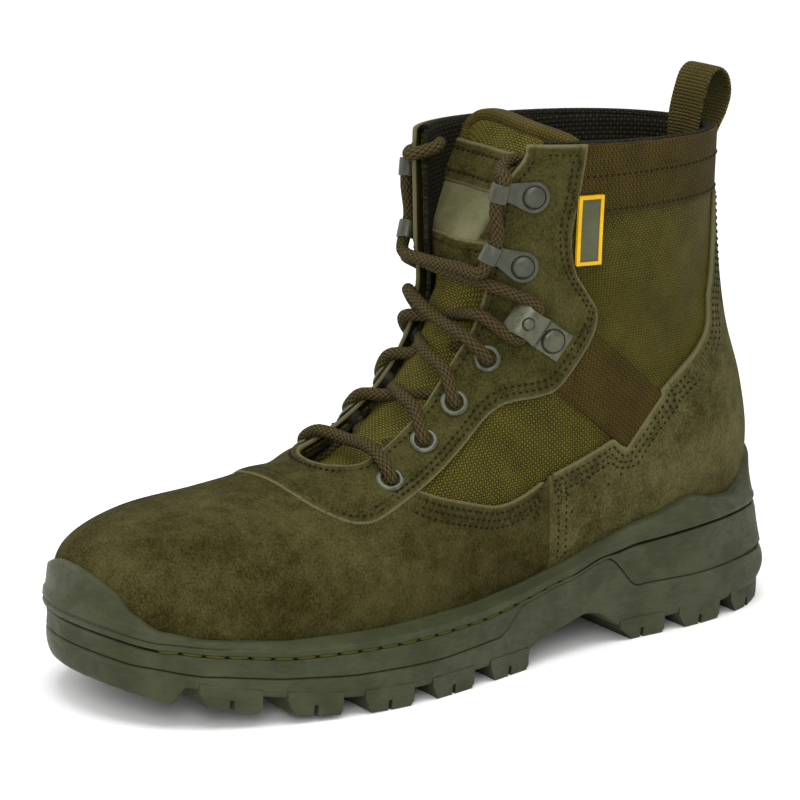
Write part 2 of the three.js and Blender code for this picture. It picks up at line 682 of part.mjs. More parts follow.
// Webbing pull loop at the back of the collar: one leg inside the lining, the other outside the band.
// The third number of each place says how far the webbing follows the collar's round back there.
function pullLoop() {
  const wallX = collarBack.x;
  const insideX = wallX + liningDepth + gap + webbing / 2 + loopStand;
  const outsideX = wallX - 2 * gap - webbing / 2;
  const rim = collarBack.z;
  const path = [
    [insideX, rim - 16, 1], [insideX, rim - 6, 1], [insideX - 0.3, rim + 2, 0.9],
    [insideX - 1.6, rim + 0.5 * loopRise, 0.5], [insideX - 4, rim + 0.86 * loopRise, 0.25],
    [insideX - 8.2, rim + loopRise, 0.15], [insideX - 12.4, rim + 0.85 * loopRise, 0.2],
    [insideX - 14.2, rim + 0.52 * loopRise, 0.4], [insideX - 12.6, rim + 0.16 * loopRise, 0.7],
    [outsideX - 0.4, rim - 6, 1], [outsideX - 0.2, rim - 16, 1],
  ];
  const bend = 1 / 54;
  const steps = 2;
  const curve = new THREE.SplineCurve(path.map(([x, z]) => new THREE.Vector2(x, z)));
  const slices = [];
  const count = 14;
  for (let i = 0; i <= count; i += 1) {
    const t = i / count;
    const spot = curve.getPoint(t);
    const along = curve.getTangent(t);
    const stiff = splineRow(path, t * (path.length - 1))[2];
    const points = [];
    const put = (k, side) => {
      const y = ((k / steps) * 2 - 1) * (loopWidth / 2);
      const curl = bend * y * y * stiff;
      const out = side * (webbing / 2);
      return new THREE.Vector3(spot.x - along.y * out + curl, y, spot.y + along.x * out);
    };
    for (let k = 0; k <= steps; k += 1) points.push(put(k, 1));
    for (let k = steps; k >= 0; k -= 1) points.push(put(k, -1));
    slices.push(points);
  }
  return toManifold(ringSolid(slices.reverse()));
}

// Metal fittings, each made at the origin with z out of the leather, then placed
function ringProfile(points, sides) {
  const closed = points.concat([points[0]]).map(([r, z]) => new THREE.Vector2(r, z));
  const geometry = new THREE.LatheGeometry(closed, sides);
  geometry.rotateX(Math.PI / 2);
  return geometry;
}

function eyelet() {
  const seat = 0.9;
  return toManifold(ringProfile([[eyeletHole, -liningDepth + gap], [barrelRadius, -liningDepth + gap],
    [barrelRadius, seat], [eyeletRadius, seat], [eyeletHole + 0.6, seat + 1.1]], 7));
}

function dome(radius, height, base, x = 0) {
  const profile = [[0, base], [radius, base], [radius, base + 0.35 * height],
    [0.7 * radius, base + 0.85 * height], [0, base + height]];
  const points = profile.map(([r, z]) => new THREE.Vector2(r, z));
  const geometry = new THREE.LatheGeometry(points, 8);
  geometry.rotateX(Math.PI / 2);
  geometry.translate(x, 0, 0);
  return toManifold(geometry);
}

// A strip of metal bent in the x-z plane and reaching across in y
function bentStrip(outline, width) {
  return sidePrism(outline, -width / 2, width / 2);
}

function speedHook() {
  const base = seatLift;
  const top = base + hookPlate;
  const curl = 3.6;
  const tip = 8;
  const plate = bentStrip([[-6, base], [tip, base], [tip, top], [-6, top]], hookHeight);
  const ring = [];
  const turns = 6;
  const centre = [tip + 1, base + curl];
  for (let i = 0; i <= turns; i += 1) {
    const a = -Math.PI / 2 + (i / turns) * 1.35 * Math.PI;
    ring.push([centre[0] + curl * Math.cos(a), centre[1] + curl * Math.sin(a)]);
  }
  for (let i = turns; i >= 0; i -= 1) {
    const a = -Math.PI / 2 + (i / turns) * 1.35 * Math.PI;
    const r = curl - hookPlate;
    ring.push([centre[0] + r * Math.cos(a), centre[1] + r * Math.sin(a)]);
  }
  ring.push([tip - 1, top], [tip - 1, base]);
  return wasm.Manifold.union([plate, bentStrip(ring, hookHeight - 1), dome(rivetRadius, 2, top - 0.2)]);
}

// The lock for the lace over the ankle: a square plate with a rivet and an arched bridge
function laceLock() {
  const base = seatLift;
  const top = base + hookPlate;
  const plate = bentStrip([[-6.5, base], [6.5, base], [6.5, top], [-6.5, top]], 12.5);
  const over = [];
  const under = [];
  for (let i = 0; i <= 6; i += 1) {
    const x = 5.5 + bridgeLength * (i / 6);
    const z = base + bridgeRise * Math.sin((Math.PI * i) / 6) ** 0.7;
    over.push([x, z + hookPlate]);
    under.unshift([x, z]);
  }
  const bridge = bentStrip(over.concat(under), hookHeight);
  return wasm.Manifold.union([plate, bridge, dome(rivetRadius + 0.6, 2, top - 0.2),
    dome(2, 1.2, base + bridgeRise + hookPlate - 0.2, 5.5 + bridgeLength / 2)]);
}

// Laces: runs from side to side and up the hooks, drawn tight over the tongue and joined where they cross
function laceRun([fromAt, fromDegrees, fromLift], [toAt, toDegrees, toLift], sag) {
  const points = [];
  for (let i = 0; i <= 6; i += 1) {
    const t = i / 6;
    const angle = THREE.MathUtils.degToRad(fromDegrees + (toDegrees - fromDegrees) * t);
    const lift = fromLift + (toLift - fromLift) * t - sag * Math.sin(Math.PI * t) ** 2;
    points.push(onForm(fromAt + (toAt - fromAt) * t, angle, lift));
  }
  const sides = 5;
  const ring = [];
  for (let i = 0; i < sides; i += 1) {
    const a = (2 * Math.PI * i) / sides;
    ring.push(new THREE.Vector2(laceRadius * Math.cos(a), laceRadius * Math.sin(a)));
  }
  const path = new THREE.CatmullRomCurve3(points, false, 'centripetal');
  const steps = Math.abs(toDegrees - fromDegrees) > 30 ? 6 : 2;
  return toManifold(new THREE.ExtrudeGeometry(new THREE.Shape(ring), { steps, extrudePath: path }));
}

const overEyelet = laceRadius + 3;
const laceStops = eyeletPlaces.map(([at, degrees]) => [at, degrees, overEyelet])
  .concat([[11.7, 149, laceRadius + 1], [13.9, 151, laceRadius + 0.6]]);
const laceTop = [16.6, 148, laceRadius + 0.6];
const opposite = ([at, degrees, lift]) => [at, 360 - degrees, lift];
const laceSag = 6;

function laces() {
  const runs = [laceRun(laceStops[0], opposite(laceStops[0]), laceSag)];
  for (let i = 0; i < laceStops.length - 1; i += 1) {
    runs.push(laceRun(laceStops[i], opposite(laceStops[i + 1]), laceSag));
    runs.push(laceRun(opposite(laceStops[i]), laceStops[i + 1], laceSag));
  }
  const last = laceStops[laceStops.length - 1];
  runs.push(laceRun(last, laceTop, 0), laceRun(opposite(last), opposite(laceTop), 0));
  return wasm.Manifold.union(runs);
}

// A plain woven tag on the outer side, sewn over the band's lower edge
function sideTag() {
  const x = 0.33 * footLength;
  const z = bandBottom + tagLap - tagHeight;
  const outline = [[x, z], [x + tagWidth, z], [x + tagWidth, z + tagHeight], [x, z + tagHeight]];
  return form(gap + tagThickness).subtract(form(gap)).intersect(sidePrism(outline, 0, beyond));
}

// Materials
const finish = (color, roughness, metalness = 0) => (
  new THREE.MeshStandardMaterial({ color, roughness, metalness }));
const suedeFinish = finish(0x4a4526, 0.95);
const wornSuedeFinish = finish(0x585336, 0.95);
const nylonFinish = finish(0x49441c, 0.85);
const webbingFinish = finish(0x433b1a, 0.85);
const rubberFinish = finish(0x4c4f39, 0.6);
const randFinish = finish(0x545842, 0.55);
const metalFinish = finish(0x5a5c4f, 0.45, 0.7);
const laceFinish = finish(0x453f26, 0.9);
const liningFinish = finish(0x232218, 0.95);
const labelFinish = finish(0x747254, 0.6);

const pieces = new THREE.Group();
function addPiece(name, solid, material, frame) {
  const mesh = new THREE.Mesh(toGeometry(solid), material);
  mesh.name = name;
  if (frame) mesh.applyMatrix4(frame);
  pieces.add(mesh);
}

addPiece('outsole', outsole(), rubberFinish);
addPiece('midsole', midsole(), rubberFinish);
addPiece('rand', rand(), randFinish);
addPiece('insole', insole(), liningFinish);
addPiece('upper', upper(), nylonFinish);
addPiece('vamp', vamp(), suedeFinish);
addPiece('heel_counter', counter(), wornSuedeFinish);
addPiece('eyestay', eyestay(), suedeFinish);
addPiece('collar_band', collarBand(), webbingFinish);
addPiece('strap_outer', strap(0, beyond), webbingFinish);
addPiece('strap_inner', strap(-beyond, 0), webbingFinish);
addPiece('tongue', tongue(), nylonFinish);
addPiece('tongue_cover', tongueCover(), suedeFinish);
addPiece('tongue_badge', tongueBadge(), labelFinish);
addPiece('pull_loop', pullLoop(), webbingFinish);
addPiece('side_tag', sideTag(), labelFinish);
addPiece('lace_crossings', laces(), laceFinish);

eyeletFrames.forEach((frame, i) => {
  const side = i % 2 === 0 ? 'outer' : 'inner';
  addPiece(`eyelet_${side}_${Math.floor(i / 2) + 1}`, eyelet(), metalFinish, frame);
});
for (const inner of [false, true]) {
  const side = inner ? 'inner' : 'outer';
  hookPlaces.forEach((place, i) => {
    addPiece(`speed_hook_${side}_${i + 1}`, speedHook(), metalFinish, placeFrame(place, inner, 0));
  });
  addPiece(`lace_lock_${side}`, laceLock(), metalFinish, placeFrame(lockPlace, inner, 0));
}

// The toe turned to -Y, and the origin at the middle of the bottom of the boot's box
pieces.rotation.z = -Math.PI / 2;
const boot = new THREE.Group();
boot.add(pieces);
boot.updateMatrixWorld(true);
const box = new THREE.Box3().setFromObject(boot, true);
pieces.position.set(-(box.min.x + box.max.x) / 2, -(box.min.y + box.max.y) / 2, -box.min.z);

export default boot;
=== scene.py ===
# Looks of the boot: suede, nylon, webbing, laces, metal fittings and the moulded sole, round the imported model
import math

import bmesh
import bpy
import numpy as np
from mathutils import Matrix, Vector


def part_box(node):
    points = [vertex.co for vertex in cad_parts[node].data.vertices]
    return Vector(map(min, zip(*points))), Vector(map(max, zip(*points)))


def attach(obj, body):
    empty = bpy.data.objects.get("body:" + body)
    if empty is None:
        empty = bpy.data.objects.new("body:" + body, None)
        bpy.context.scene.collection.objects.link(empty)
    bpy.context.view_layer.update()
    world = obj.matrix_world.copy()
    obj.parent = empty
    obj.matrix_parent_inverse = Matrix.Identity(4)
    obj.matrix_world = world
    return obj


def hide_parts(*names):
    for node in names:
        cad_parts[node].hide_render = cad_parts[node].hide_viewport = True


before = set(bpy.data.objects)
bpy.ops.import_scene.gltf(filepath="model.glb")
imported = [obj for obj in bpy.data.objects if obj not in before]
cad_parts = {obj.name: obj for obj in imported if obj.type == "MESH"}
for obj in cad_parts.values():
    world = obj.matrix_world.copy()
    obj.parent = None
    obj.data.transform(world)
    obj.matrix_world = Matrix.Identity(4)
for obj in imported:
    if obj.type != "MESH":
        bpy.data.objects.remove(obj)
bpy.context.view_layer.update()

# The boot frame is in millimetres: x from heel to toe, y towards the outer side, z up
boot = {"length": 302, "collar": 192, "upperWidth": 100, "soleWidth": 109, "heel": 41, "spring": 15.4,
        "shiftX": -1.192, "shiftY": 149.740}


def toRow(points):
    points = np.asarray(points, float)
    return np.stack([points[..., 1] + boot["shiftX"], boot["shiftY"] - points[..., 0], points[..., 2]], -1) / 1000


def unit(vectors):
    return vectors / np.maximum(np.linalg.norm(vectors, axis=-1, keepdims=True), 1e-9)


def smooth(low, high, value):
    t = np.clip((value - low) / (high - low), 0, 1)
    return t * t * (3 - 2 * t)


# backX, backZ, frontX, frontZ, outer, inner, widest, backRound, frontRound, middle
sectionRows = np.array([
    [0.988, 0.146, 0.987, 0.208, 0.04, 0.04, 0.55, 2.4, 2.2, -0.065],
    [0.976, 0.104, 0.973, 0.290, 0.20, 0.20, 0.55, 2.8, 2.2, -0.068],
    [0.948, 0.073, 0.940, 0.328, 0.335, 0.31, 0.55, 3.2, 2.2, -0.075],
    [0.880, 0.057, 0.866, 0.356, 0.445, 0.41, 0.54, 3.4, 2.2, -0.065],
    [0.788, 0.052, 0.772, 0.372, 0.49, 0.455, 0.50, 3.8, 2.1, -0.045],
    [0.695, 0.052, 0.685, 0.398, 0.50, 0.470, 0.45, 4.0, 2.0, -0.025],
    [0.596, 0.062, 0.609, 0.445, 0.48, 0.425, 0.40, 4.0, 2.0, -0.02],
    [0.497, 0.078, 0.554, 0.513, 0.45, 0.370, 0.36, 3.8, 2.0, -0.02],
    [0.397, 0.099, 0.526, 0.585, 0.41, 0.340, 0.34, 3.6, 2.0, -0.015],
    [0.291, 0.120, 0.512, 0.638, 0.385, 0.35, 0.36, 3.2, 2.0, -0.01],
    [0.182, 0.135, 0.507, 0.684, 0.375, 0.36, 0.40, 2.8, 2.0, 0],
    [0.082, 0.160, 0.505, 0.727, 0.375, 0.37, 0.44, 2.4, 2.0, 0],
    [0.024, 0.222, 0.505, 0.765, 0.38, 0.38, 0.46, 2.2, 2.0, 0],
    [0.011, 0.323, 0.507, 0.802, 0.385, 0.39, 0.48, 2.2, 2.0, 0],
    [0.024, 0.448, 0.507, 0.839, 0.38, 0.385, 0.50, 2.2, 2.0, 0],
    [0.051, 0.573, 0.507, 0.875, 0.375, 0.38, 0.50, 2.2, 2.0, 0],
    [0.067, 0.698, 0.507, 0.911, 0.375, 0.38, 0.50, 2.2, 2.0, 0],
    [0.077, 0.833, 0.507, 0.956, 0.38, 0.385, 0.50, 2.2, 2.0, 0],
    [0.078, 0.984, 0.505, 1.008, 0.39, 0.395, 0.50, 2.2, 2.0, 0],
    [0.079, 1.125, 0.503, 1.125, 0.395, 0.40, 0.50, 2.2, 2.0, 0],
])
outlineRows = np.array([
    [0.000, -0.018, -0.018], [0.010, 0.147, -0.165], [0.046, 0.284, -0.284], [0.149, 0.367, -0.358],
    [0.281, 0.376, -0.349], [0.397, 0.404, -0.345], [0.513, 0.468, -0.380], [0.622, 0.514, -0.450],
    [0.722, 0.505, -0.486], [0.811, 0.452, -0.492], [0.887, 0.370, -0.456], [0.947, 0.266, -0.382],
    [0.985, 0.135, -0.262], [1.000, -0.070, -0.070],
])
channelRows = np.array([[0, 1], [0.14, 0.97], [0.26, 0.915], [0.32, 0.855], [0.38, 0.74], [0.457, 0.655],
                        [0.53, 0.6], [0.66, 0.583], [0.795, 0.593], [0.874, 0.65], [0.94, 0.71], [1, 0.825]])
partingRows = np.array([[0, 0.54], [0.17, 0.505], [0.25, 0.515], [0.5, 0.383], [0.6, 0.354], [0.715, 0.37],
                        [0.79, 0.407], [0.89, 0.476], [0.957, 0.556], [1, 0.63]])
rootRows = np.array([[0, 1], [0.29, 1], [0.33, 2.25], [0.348, 2.4], [0.394, 1.87], [0.424, 1.6], [0.457, 1], [1, 1]])
randRows = np.array([[0, 1], [0.01, 0.86], [0.035, 0.44], [0.065, 0.26], [0.11, 0.36], [0.165, 0.58], [0.24, 0.4],
                     [0.33, 0.22], [0.45, 0.19], [0.6, 0.21], [0.75, 0.24], [0.9, 0.27], [0.94, 0.34],
                     [0.965, 0.56], [0.98, 0.82], [1, 1]])
tongueRows = np.array([
    [5.0, 0.030, 0.17, 0.04], [5.6, 0.030, 0.19, 0.05], [6.4, 0.028, 0.21, 0.07], [7.4, 0.028, 0.22, 0.09],
    [8.6, 0.028, 0.215, 0.12], [10.0, 0.034, 0.21, 0.12], [11.4, 0.040, 0.215, 0.13], [12.8, 0.050, 0.225, 0.14],
    [14.2, 0.063, 0.25, 0.14], [15.6, 0.083, 0.275, 0.13], [16.8, 0.103, 0.29, 0.10], [17.7, 0.124, 0.31, 0.08],
    [18.35, 0.136, 0.315, 0.06],
])


# Catmull-Rom through the rows of a table
def splineRow(rows, at):
    at = np.asarray(at, float)
    i = np.clip(np.floor(at).astype(int), 0, len(rows) - 2)
    t = (at - i)[..., None]
    more = np.vstack([2 * rows[0] - rows[1], rows, 2 * rows[-1] - rows[-2]])
    p0, p1, p2, p3 = more[i], more[i + 1], more[i + 2], more[i + 3]
    return 0.5 * (2 * p1 + (p2 - p0) * t + (2 * p0 - 5 * p1 + 4 * p2 - p3) * t ** 2 + (3 * p1 - p0 - 3 * p2 + p3) * t ** 3)


def tableHeight(rows, share):
    s = np.clip(share, 0, 1)
    i = np.clip(np.searchsorted(rows[:, 0], s) - 1, 0, len(rows) - 2)
    t = (s - rows[i, 0]) / (rows[i + 1, 0] - rows[i, 0])
    return rows[i, 1] + (rows[i + 1, 1] - rows[i, 1]) * (t * t * (3 - 2 * t) * 0.5 + t * 0.5)


def channelZ(x):
    return boot["heel"] * tableHeight(channelRows, x / boot["length"])


def springZ(x):
    start = 0.66 * boot["length"]
    bevel = 0.05 * boot["length"]
    return (boot["spring"] * np.clip((x - start) / (boot["length"] - start), 0, 1) ** 1.6
            + 4 * np.clip((bevel - x) / bevel, 0, 1) ** 1.5)


def rootZ(x):
    return 6 * tableHeight(rootRows, x / boot["length"]) + springZ(x)


def randTopZ(x):
    return channelZ(x) + 19 * tableHeight(randRows, x / boot["length"])


# A point of the upper's form: a superellipse in the section plane, polar angle turn from back (0) to front (pi)
def formPoint(at, turn):
    bx, bz, fx, fz, outer, inner, widest, backRound, frontRound, middle = np.moveaxis(splineRow(sectionRows, at), -1, 0)
    cos, sin = np.cos(turn), np.sin(turn)
    n = np.where(cos > 0, backRound, frontRound)
    c, s = np.abs(cos) ** (n / 2), np.abs(sin) ** (n / 2)
    size = np.maximum(np.hypot(c, s), 1e-9)
    c, s = (c / size) ** (2 / n), (s / size) ** (2 / n)
    along = widest + np.where(cos > 0, -widest, 1 - widest) * c
    across = np.where(sin > 0, outer, inner) * np.sign(sin) * s + middle
    return np.stack([boot["length"] * (bx + (fx - bx) * along), boot["upperWidth"] * across,
                     boot["collar"] * (bz + (fz - bz) * along)], -1)


def formNormal(at, turn):
    step = 0.02
    low, high = np.clip(at - step, 0.02, 19), np.clip(at + step, 0.06, 19)
    along = formPoint(high, turn) - formPoint(low, turn)
    around = formPoint(at, turn + step) - formPoint(at, turn - step)
    return unit(np.cross(along, around))


def onForm(at, turn, height=0.0):
    at, turn = np.broadcast_arrays(np.asarray(at, float), np.asarray(turn, float))
    return formPoint(at, turn) + formNormal(at, turn) * np.asarray(height, float)[..., None]


# Turns an angle of the sections' own curve into the polar angle used here
def polarTurn(at, degrees):
    angle = np.radians(degrees)
    row = splineRow(sectionRows, at)
    n = np.where(np.cos(angle) > 0, row[..., 7], row[..., 8])
    return np.arctan2(np.sign(np.sin(angle)) * np.abs(np.sin(angle)) ** (2 / n),
                      np.sign(np.cos(angle)) * np.abs(np.cos(angle)) ** (2 / n))


# A mesh collected from grids and rings, with values and a UV map in millimetres
class Shell:
    def __init__(self):
        self.points, self.faces, self.count, self.values, self.corners = [], [], 0, {}, []

    def add(self, points, faces, uv=None, **values):
        points = np.asarray(points, float).reshape(-1, 3)
        faces = [np.asarray(f) + self.count for f in faces]
        uv = np.zeros((len(points), 2)) if uv is None else np.asarray(uv, float).reshape(-1, 2)
        for block in faces:
            if len(block):
                self.faces += block.tolist()
                self.corners.append(uv[(block - self.count)].reshape(-1, 2))
        self.points.append(points)
        for key, value in values.items():
            self.values.setdefault(key, []).append((self.count, np.broadcast_to(value, (len(points),))))
        self.count += len(points)

    # A closed or open grid of points, with an optional UV that runs on over the seam
    def grid(self, points, uv=None, roll=False, **values):
        points = np.asarray(points, float)
        rows, cols = points.shape[:2]
        j = np.arange(cols if roll else cols - 1)
        a = np.arange(rows - 1)[:, None] * cols + j
        b = np.arange(rows - 1)[:, None] * cols + (j + 1) % cols
        faces = np.stack([a, b, b + cols, a + cols], -1).reshape(-1, 4)
        start = self.count
        self.add(points, [faces], **values)
        if uv is not None:
            uv = np.asarray(uv, float)
            wide = uv if uv.shape[1] == len(j) + 1 else np.concatenate([uv, 2 * uv[:, -1:] - uv[:, -2:-1]], 1)
            corner = np.stack([wide[:-1, :-1], wide[:-1, 1:], wide[1:, 1:], wide[1:, :-1]], 2)[:, :len(j)]
            self.corners[-1] = corner.reshape(-1, 2)
        return start

    def cap(self, indices):
        self.faces.append(list(indices))
        self.corners.append(np.zeros((len(indices), 2)))


def finishMesh(name, shell, material, replaces=(), merge=0.0, flat=False):
    mesh = bpy.data.meshes.new(name)
    mesh.from_pydata(toRow(np.concatenate(shell.points)).tolist(), [], shell.faces)
    layer = mesh.uv_layers.new(name="cloth")
    layer.data.foreach_set("uv", np.concatenate(shell.corners).astype(np.float32).ravel())
    for key, blocks in shell.values.items():
        whole = np.zeros(len(mesh.vertices), np.float32)
        for start, block in blocks:
            whole[start:start + len(block)] = block
        mesh.attributes.new(key, "FLOAT", "POINT").data.foreach_set("value", whole)
    work = bmesh.new()
    work.from_mesh(mesh)
    if merge:
        bmesh.ops.remove_doubles(work, verts=work.verts, dist=merge / 1000)
    bmesh.ops.recalc_face_normals(work, faces=work.faces)
    work.to_mesh(mesh)
    work.free()
    mesh.polygons.foreach_set("use_smooth", [not flat] * len(mesh.polygons))
    piece = bpy.data.objects.new(name, mesh)
    bpy.context.scene.collection.objects.link(piece)
    mesh.materials.append(material)
    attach(piece, "root")
    if replaces:
        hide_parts(*replaces)
    return piece


def sharpen(piece, degrees=38):
    mesh = piece.data
    work = bmesh.new()
    work.from_mesh(mesh)
    limit = math.radians(degrees)
    for edge in work.edges:
        edge.smooth = not (len(edge.link_faces) == 2 and edge.calc_face_angle(0) > limit)
    work.to_mesh(mesh)
    work.free()


# The fine grid over the upper: sections by turns
skin = {"rows": 330, "turns": 236}
lastRow = 18.0
rowAt = np.interp(np.linspace(0, 1, skin["rows"]), [0, 0.05, 0.62, 1], [0.02, 0.9, 11.0, lastRow])
turnAt = np.linspace(0, 2 * np.pi, skin["turns"] + 1)
gridAt, gridTurn = np.meshgrid(rowAt, turnAt, indexing="ij")
gridPoint = formPoint(gridAt, gridTurn)
gridNormal = formNormal(gridAt, gridTurn)
stepAround = np.linalg.norm(np.diff(gridPoint, axis=1), axis=-1)
gridAround = np.concatenate([np.zeros((skin["rows"], 1)), np.cumsum(stepAround, 1)], 1)
print("form", gridPoint.shape, gridPoint.min((0, 1)).round(1), gridPoint.max((0, 1)).round(1))


# Signed distance in the side view to a closed outline, negative inside
def sideDistance(outline, x, z):
    a = np.asarray(outline, float)
    b = np.roll(a, -1, 0)
    best = np.full(np.shape(x), 1e9)
    inside = np.zeros(np.shape(x), bool)
    for (ax, az), (bx, bz) in zip(a, b):
        ex, ez = bx - ax, bz - az
        t = np.clip(((x - ax) * ex + (z - az) * ez) / max(ex * ex + ez * ez, 1e-12), 0, 1)
        best = np.minimum(best, (x - ax - ex * t) ** 2 + (z - az - ez * t) ** 2)
        if az != bz:
            inside ^= ((az > z) != (bz > z)) & (x < ax + (z - az) * ex / ez)
    return np.where(inside, -1, 1) * np.sqrt(best)


def smoothLine(shares, count):
    rows = np.asarray(shares, float) * [boot["length"], boot["collar"]]
    return splineRow(rows, np.linspace(0, len(rows) - 1, count))


def shares(points):
    return np.asarray(points, float) * [boot["length"], boot["collar"]]


throat = {"instep": 18, "top": 26, "lap": 8.5, "front": 5.25, "round": 0.55, "cut": 4}


# How far inside the throat a place is, negative outside it
def throatDepth(at, turn, point, extra=0.0):
    half = throat["instep"] + (throat["top"] - throat["instep"]) * np.clip((at - 9) / 9, 0, 1) + extra
    y = point[..., 1] - splineRow(sectionRows, at)[..., 9] * boot["upperWidth"]
    half = half - np.where(y < 0, throat["lap"] * np.clip((at - 9) / 9, 0, 1), 0)
    ahead = np.clip((throat["front"] + throat["round"] - at) / throat["round"], 0, None)
    corner = np.where(y > 0, throat["cut"] * smooth(174, 190, point[..., 2]), -0.0)
    depth = half * (1 - np.hypot(y / half, ahead)) + corner
    return np.where(np.cos(turn) < 0, depth, -60)


eyestayEdge = smoothLine([
    [0.352, 1.12], [0.354, 1.0], [0.361, 0.9], [0.368, 0.82], [0.362, 0.755], [0.345, 0.71], [0.331, 0.67],
    [0.336, 0.62], [0.356, 0.567], [0.382, 0.525], [0.41, 0.514], [0.45, 0.507], [0.48, 0.485], [0.515, 0.442],
    [0.555, 0.4], [0.6, 0.365], [0.645, 0.338], [0.68, 0.334], [0.705, 0.347], [0.724, 0.372], [0.731, 0.41]], 90)
eyestayOutline = np.vstack([eyestayEdge, shares([[0.74, 0.6], [0.6, 0.8], [0.6, 1.12]])])
band = {"height": 27, "bottom": 165}
bandOutline = np.array([[-30, 165], [136, 165], [136, 230], [-30, 230]])
strap = {"top": shares([[0.348, 0.647]])[0], "end": shares([[0.215, 0.472]])[0], "width": 25}
strapAlong = unit(strap["end"] - strap["top"])
strapAcross = np.array([-strapAlong[1], strapAlong[0]])
strapLength = np.linalg.norm(strap["end"] - strap["top"])


def strapPoint(along, across):
    return strap["top"] + strapAlong * along + strapAcross * across


def strapBox(end, grow):
    return np.array([strapPoint(-25, -grow), strapPoint(end, -grow), strapPoint(end, strap["width"] + grow),
                     strapPoint(-25, strap["width"] + grow)])


counterEdge = smoothLine([[0.135, 0.66], [0.14, 0.605], [0.165, 0.565], [0.2, 0.53], [0.245, 0.475], [0.29, 0.42],
                          [0.345, 0.385], [0.4, 0.358]], 50)
vampSeam = 0.4 * boot["length"]
counterOutline = np.vstack([shares([[-0.1, 0.05], [-0.1, 0.86], [0.1, 0.86], [0.125, 0.7]]), counterEdge,
                            [[vampSeam, 0.05 * boot["collar"]]]])
vampEdge = smoothLine([[0.4, 0.358], [0.44, 0.333], [0.48, 0.325], [0.53, 0.345], [0.57, 0.365], [0.62, 0.4]], 40)
vampOutline = np.vstack([[[vampSeam, 0]], vampEdge, shares([[0.66, 0.7], [1.1, 0.7], [1.1, 0]])])


def belowRand(point):
    return channelZ(point[..., 0]) + 0.5 - point[..., 2]


# Fields in millimetres over the skin, negative on the panel
def eyestayField(at, turn, point):
    return np.maximum(sideDistance(eyestayOutline, point[..., 0], point[..., 2]), throatDepth(at, turn, point))


def bandField(at, turn, point):
    f = sideDistance(bandOutline, point[..., 0], point[..., 2])
    return np.maximum(f, -3 - sideDistance(eyestayOutline, point[..., 0], point[..., 2]))


def strapField(at, turn, point):
    f = sideDistance(strapBox(strapLength + 2.5, 0), point[..., 0], point[..., 2])
    return np.maximum(f, -3 - sideDistance(eyestayOutline, point[..., 0], point[..., 2]))


def counterField(at, turn, point):
    f = sideDistance(counterOutline, point[..., 0], point[..., 2])
    f = np.maximum(f, -sideDistance(strapBox(strapLength - 4.5, 0.3), point[..., 0], point[..., 2]))
    return np.maximum(f, belowRand(point))


def vampField(at, turn, point):
    f = sideDistance(vampOutline, point[..., 0], point[..., 2])
    f = np.maximum(f, throatDepth(at, turn, point))
    f = np.maximum(f, -4 - sideDistance(eyestayOutline, point[..., 0], point[..., 2]))
    return np.maximum(f, belowRand(point))


def baseField(at, turn, point):
    return np.maximum(throatDepth(at, turn, point, 4.0), belowRand(point) - 1)


# Cuts a panel out of the skin: grid places next to its edge move onto it, and only cells inside are kept
def cutPanel(field, step=1):
    at, turn = gridAt[::step, ::step].copy(), gridTurn[::step, ::step].copy()
    rest = formPoint(at, turn)
    f = field(at, turn, rest)
    fi, fj = np.gradient(f)
    size = np.maximum(fi ** 2 + fj ** 2, 1e-9)
    di, dj = -f * fi / size, -f * fj / size
    near = np.hypot(di, dj) < 0.52
    si, sj = np.gradient(at, axis=0), np.gradient(turn, axis=1)
    for _ in range(2):
        at = np.where(near, np.clip(at + di * si, 0.02, lastRow), at)
        turn = np.where(near, turn + dj * sj, turn)
        again = field(at, turn, formPoint(at, turn))
        di, dj = -again * fi / size * near, -again * fj / size * near
        limit = np.maximum(np.hypot(di, dj), 0.3) / 0.3
        di, dj = di / limit, dj / limit
    inside = near | (f < 0)
    inside[:, -1] = inside[:, 0]
    at[:, -1], turn[:, -1] = at[:, 0], turn[:, 0] + 2 * np.pi
    gi = np.linalg.norm(np.gradient(rest, axis=0), axis=-1)
    gj = np.linalg.norm(np.gradient(rest, axis=1), axis=-1)
    slope = np.hypot(fi / np.maximum(gi, 0.05), fj / np.maximum(gj, 0.05))
    edge = np.where(near, 0, -f / np.clip(slope, 0.35, 2))
    return {"at": at, "turn": turn, "point": formPoint(at, turn), "inside": inside, "edge": edge, "step": step}


